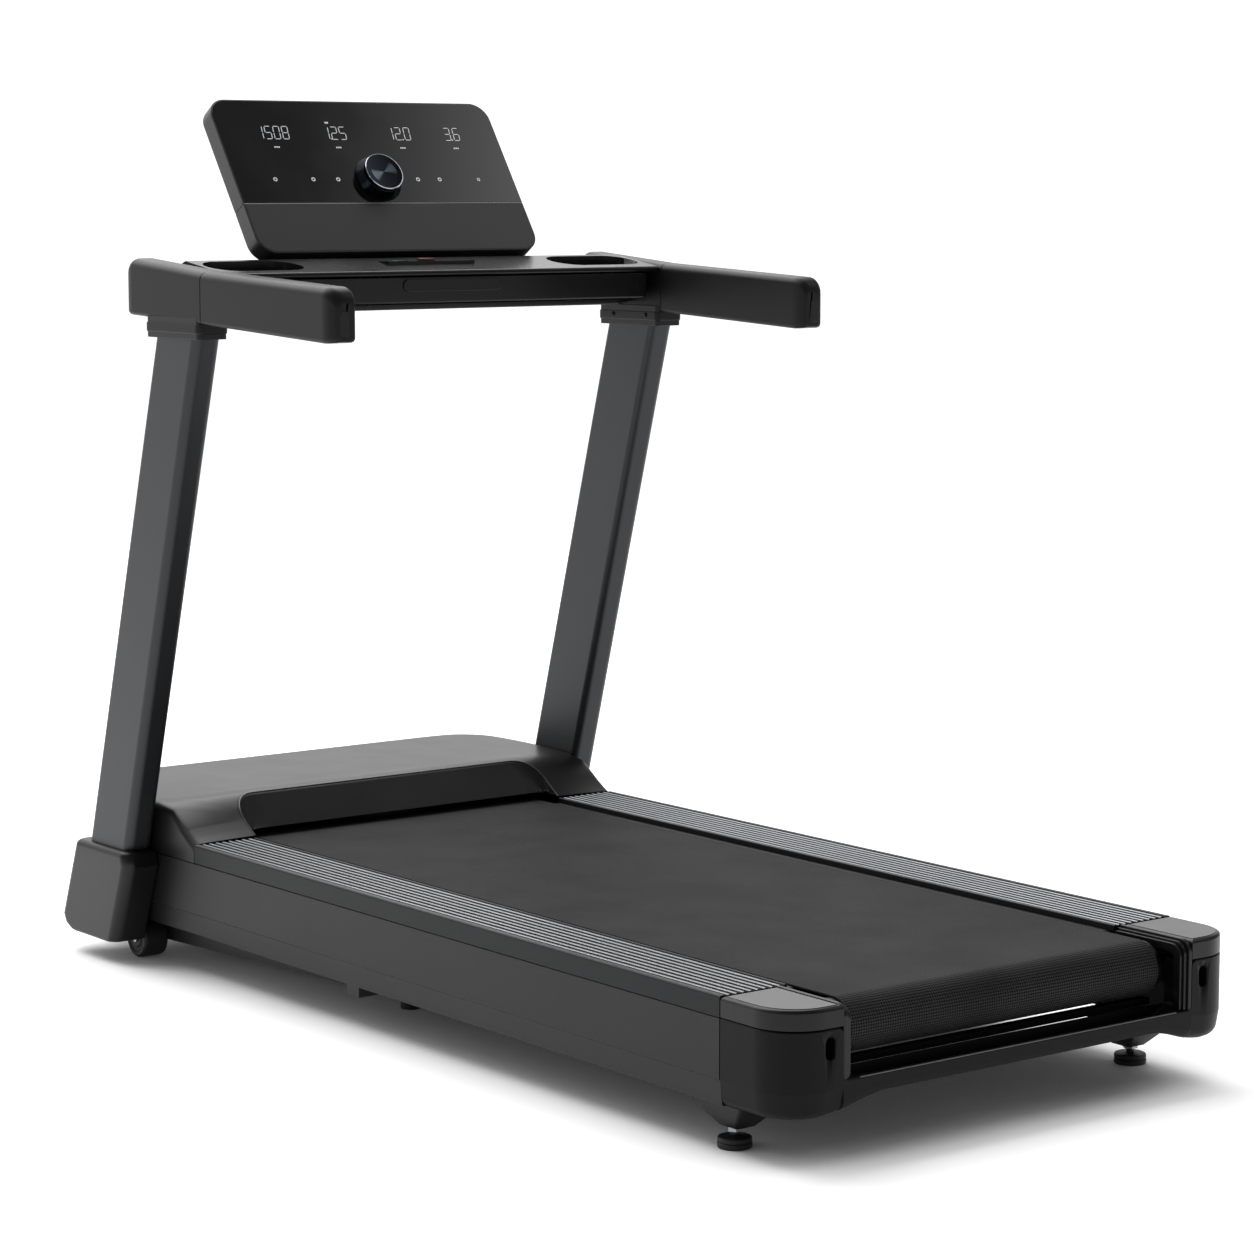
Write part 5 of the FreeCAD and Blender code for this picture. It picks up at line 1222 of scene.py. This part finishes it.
# Dial chamfer: the bright turned edge of the dial's cap, polished aluminium.
# A narrow closed section spun round the dial's axis.
polished_chamfer = surface("polished_chamfer", "#a9adb3", "#b4b8be", 0.18, 0.6, 0.01, 20, metallic=1)
chamfer_profile = [(30.4, 20.3), (31.05, 19.9), (31.1, 20.2), (30.5, 20.95), (29.7, 21), (29.7, 20.4)]
chamfer_rings = [[on_face(radius * math.cos(2 * math.pi * k / 96),
                          dial_up + radius * math.sin(2 * math.pi * k / 96),
                          height) for k in range(96)] for radius, height in chamfer_profile]
chamfer = solid("dial_chamfer", loft(chamfer_rings, looped=True), polished_chamfer)
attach(chamfer, "dial")


# Start lens: a flat lens of green translucent plastic beside the key, almost flush with the shelf.
# A low turned disc.
key_low, key_high = span("safety_key")
key_x, key_y = (key_low.x + key_high.x) / 2, (key_low.y + key_high.y) / 2
green_lens = surface("green_translucent_lens", "#123d20", "#184a28", 0.25, 0.8, 0.02, 12)
lens_profile = [(2, key_low.z - 0.4), (12.4, key_low.z - 0.4), (13, key_low.z + 0.2),
                (12.4, key_low.z + 0.8),
                (2, key_low.z + 0.9)]
lens = solid("start_lens", turned(lens_profile, lambda x, y, z: Vector((key_x - 46 + x, key_y + y, z))),
             green_lens)
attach(lens, "base")


# Safety key: a low disc of red moulded plastic, resting in its dock in front of the console.
# A turned profile with a soft rim and a flat top.
key_disc = [(2, key_low.z), (12.4, key_low.z), (13, key_low.z + 0.8), (13, key_low.z + 2.4),
            (12, key_low.z + 3.4),
            (4, key_low.z + 3.8), (1, key_low.z + 3.8)]
red_plastic = surface("red_moulded_plastic", "#57100e", "#651412", 0.35, 0.8, 0.03, 12)
key = solid("safety_key_disc", turned(key_disc, lambda x, y, z: Vector((key_x + x, key_y + y, z))),
            red_plastic)
fit(key, "safety_key")


# Foot brackets: pressed steel under the rear corners, powder coated, that taper down to the stud.
# Rounded sections are lofted downwards, with a straight neck above that reaches into the skirt.
bracket_low, bracket_high = span("foot_brackets")
foot_low, foot_high = span("levelling_foot_right")
stud_x, stud_y = (foot_low.x + foot_high.x) / 2, (foot_low.y + foot_high.y) / 2
bracket_mid = stud_x - 4
bracket_rings = []
for z, half_x, half_y, soft in ((bracket_low.z, 15, 17, 4), (bracket_low.z + 1.6, 16.4, 18.4, 4),
                                (bracket_low.z + 14, 26, 31, 4), (skirt_low.z - 1.5, 33, 45, 4),
                                (skirt_low.z - 0.4, 32, 44, 4)):
    outline = rounded(oblong(bracket_mid - half_x, bracket_mid + half_x, stud_y - half_y, stud_y + half_y,
                             soft))
    bracket_rings.append([on_xy(*p, z) for p in outline])
neck = slab(oblong(303, 341, stud_y - 21, stud_y + 25, 2), on_xy, skirt_low.z - 1, bracket_high.z)
brackets = solid("foot_brackets_pressed", both(joined(loft(bracket_rings), neck)), coated_steel)
fit(brackets, "foot_brackets")


# Levelling pads: black rubber moulded over the discs of the rear feet, with the stud above.
# One turned profile for both.
rubber = surface("moulded_black_rubber", "#0a0a0b", "#0e0e0f", 0.6, 1.4, 0.08, 40)
foot_profile = [(2, 0.1), (20, 0.1), (20.8, 1), (21, 2.2), (21, 6), (20.4, 6.9), (19.8, 7.1), (20.2, 7.6),
                (20.8, 8.4),
                (20.8, 11.5), (20, 13), (18, 13.8), (9, 14.2), (6.2, 14.8), (5, 15.6), (5, foot_high.z - 1),
                (4, foot_high.z)]
for side, hand in SIDES:
    foot = solid("levelling_pad_" + hand,
                 turned(foot_profile, lambda x, y, z: Vector((side * stud_x + x, stud_y + y, z))),
                 rubber, sharp=30)
    fit(foot, "levelling_foot_" + hand)


# Transport wheels: solid rubber tyres with a dished face on both sides.
# One turned profile for both.
wheel_low, wheel_high = span("transport_wheel_right")
wheel_y, wheel_z = (wheel_low.y + wheel_high.y) / 2, (wheel_low.z + wheel_high.z) / 2
wheel_radius = (wheel_high.z - wheel_low.z) / 2
tyre = [(5.2, 1), (12, 1), (13, 2.5), (20, 2.5), (21.5, 1), (24, 0.2), (26.5, 1.2), (27.8, 3.4),
        (wheel_radius, 6),
        (wheel_radius, 34), (27.8, 36.6), (26.5, 38.8), (24, 39.8), (21.5, 39), (20, 37.5), (13, 37.5),
        (12, 39), (5.2, 39)]
for side, hand in SIDES:
    wheel = solid("wheel_tyre_" + hand, turned(tyre, lambda y, z, x: Vector((
        side * (wheel_low.x + x), wheel_y + y, wheel_z + z)), 64), rubber, sharp=30)
    fit(wheel, "transport_wheel_" + hand)


# Screws: button heads of black oxide steel with a hexagon socket, on the collars and the boots.
# A flattened ball with its socket cut out is set at each place by one Geometry Nodes tree.
zinc_steel = surface("zinc_plated_steel", "#8b8d90", "#a2a4a6", 0.32, 1.0, 0.03, 12, metallic=1)
black_screw = surface("black_oxide_steel", "#1c1c1e", "#26262a", 0.4, 0.8, 0.02, 10, metallic=1)
screw_sizes = {"Radius": 3.4 * MM, "Height": 2.0 * MM, "Material": black_screw}
heads = bpy.data.node_groups.new("button_heads", "GeometryNodeTree")
given = tree_inputs(heads, screw_sizes)
dome = add(heads, "GeometryNodeMeshUVSphere",
           {"Segments": 24, "Rings": 12, "Radius": given.outputs["Radius"]})
flat = reckoned(heads, "DIVIDE", given.outputs["Height"], given.outputs["Radius"])
flatten = add(heads, "ShaderNodeCombineXYZ", {"X": 1.0, "Y": 1.0, "Z": flat})
head = add(heads, "GeometryNodeTransform", {"Geometry": dome, "Scale": flatten})
socket_radius = reckoned(heads, "MULTIPLY", given.outputs["Radius"], 0.48)
key_way = add(heads, "GeometryNodeMeshCylinder", {"Vertices": 6, "Radius": socket_radius,
                                                  "Depth": given.outputs["Height"]})
lift = add(heads, "ShaderNodeCombineXYZ", {"Z": given.outputs["Height"]})
raised_key = add(heads, "GeometryNodeTransform", {"Geometry": key_way, "Translation": lift})
drilled = add(heads, "GeometryNodeMeshBoolean", {"Mesh 1": head}, operation="DIFFERENCE")
heads.links.new(raised_key.outputs["Geometry"], drilled.inputs["Mesh 2"])
facing = add(heads, "GeometryNodeInputNormal")
turn = add(heads, "FunctionNodeAlignRotationToVector", {"Vector": facing.outputs["Normal"]}, axis="Z")
faces = add(heads, "GeometryNodeMeshToPoints", {"Mesh": given.outputs["Geometry"]}, mode="FACES")
normals = add(heads, "GeometryNodeCaptureAttribute", {"Geometry": given.outputs["Geometry"]}, domain="FACE")
normals.capture_items.new("VECTOR", "Facing")
heads.links.new(facing.outputs["Normal"], normals.inputs["Facing"])
heads.links.new(normals.outputs["Geometry"], faces.inputs["Mesh"])
heads.links.new(normals.outputs["Facing"], turn.inputs["Vector"])
put = add(heads, "GeometryNodeInstanceOnPoints", {"Points": faces, "Instance": drilled,
                                                  "Rotation": turn})
closed(heads, put, given)


def screws(name, places, body, radius=3.4):
    """Button-head screws at (point, outward direction) places on one body."""
    points, faces = [], []
    for point, outward in places:
        across = outward.orthogonal().normalized() * 0.5
        aside = outward.cross(across)
        faces.append(tuple(range(len(points), len(points) + 3)))
        points += [Vector(point) + across, Vector(point) - across * 0.5 + aside * 0.866,
                   Vector(point) - across * 0.5 - aside * 0.866]
    start = bpy.data.meshes.new(name)
    start.from_pydata([p * MM for p in points], [], faces)
    piece = grown(name, heads, {**screw_sizes, "Radius": radius * MM}, start)
    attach(piece, body)
    return piece


collar_face = post_inner - 2.6
collar_places = [(Vector((side * collar_face, post_front(collar_low.z + 9) - post_depth / 2 + shift_y,
                          collar_low.z + 9)),
                  Vector((-side, 0, 0))) for side in (-1, 1) for shift_y in (-40, 40)]
collar_heads = screws("collar_button_heads", collar_places, "base")
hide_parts("collar_screws")
screws("boot_button_heads", [(Vector((side * (post_inner + 22), boot_low.y + 0.9, boot_high.z - 24)),
                              Vector((0, -1, 0.35)))
                             for side in (-1, 1)], "base", 2.6)


# Everything that keeps its CAD shape: painted frame tubes, the drive and what hides under the covers.
frame_black = surface("black_powder_coated_frame", "#1f1f21", "#262628", 0.5, 2.4, 0.06, 90)
turned_steel = surface("blackened_roller_steel", "#1b1b1d", "#242427", 0.4, 0.8, 0.02, 25, metallic=1)
motor_black = surface("black_stove_enamel", "#141416", "#1b1b1d", 0.35, 1.6, 0.03, 40)
phenolic_board = surface("phenolic_faced_board", "#17140f", "#1f1a14", 0.45, 1.2, 0.03, 30)
solder_mask = surface("green_solder_mask", "#0d3a1c", "#124a25", 0.35, 0.9, 0.02, 15)
hard_chrome = surface("hard_chrome", "#c6c8ca", "#d2d4d6", 0.1, 0.6, 0.005, 20, metallic=1)
cast_aluminium = surface("cast_aluminium_fins", "#7d7f82", "#8d8f92", 0.5, 1.2, 0.08, 20, metallic=1)
finishes = {"frame_paint": frame_black, "upright_paint": coated_steel, "shell_plastic": moulded_abs,
            "rail_aluminium": anodised_aluminium, "belt_rubber": woven_belt, "board_wood": phenolic_board,
            "roller_steel": turned_steel, "plain_steel": zinc_steel, "black_rubber": rubber,
            "glass_black": black_glass, "panel_plastic": satin_panel, "grip_skin": soft_grip,
            "motor_paint": motor_black, "circuit_green": solder_mask, "dial_metal": cast_aluminium,
            "chrome_rod": hard_chrome, "key_red": red_plastic}
# The belt-adjuster bolts sit deep in their slots and take the near-black painted shade.
for name, cad_node in frame["nodes"].items():
    cad_node.data.materials.clear()
    cad_node.data.materials.append(gap_painted_shade if name == "belt_adjuster_bolts" else finishes[slot_of[name]])
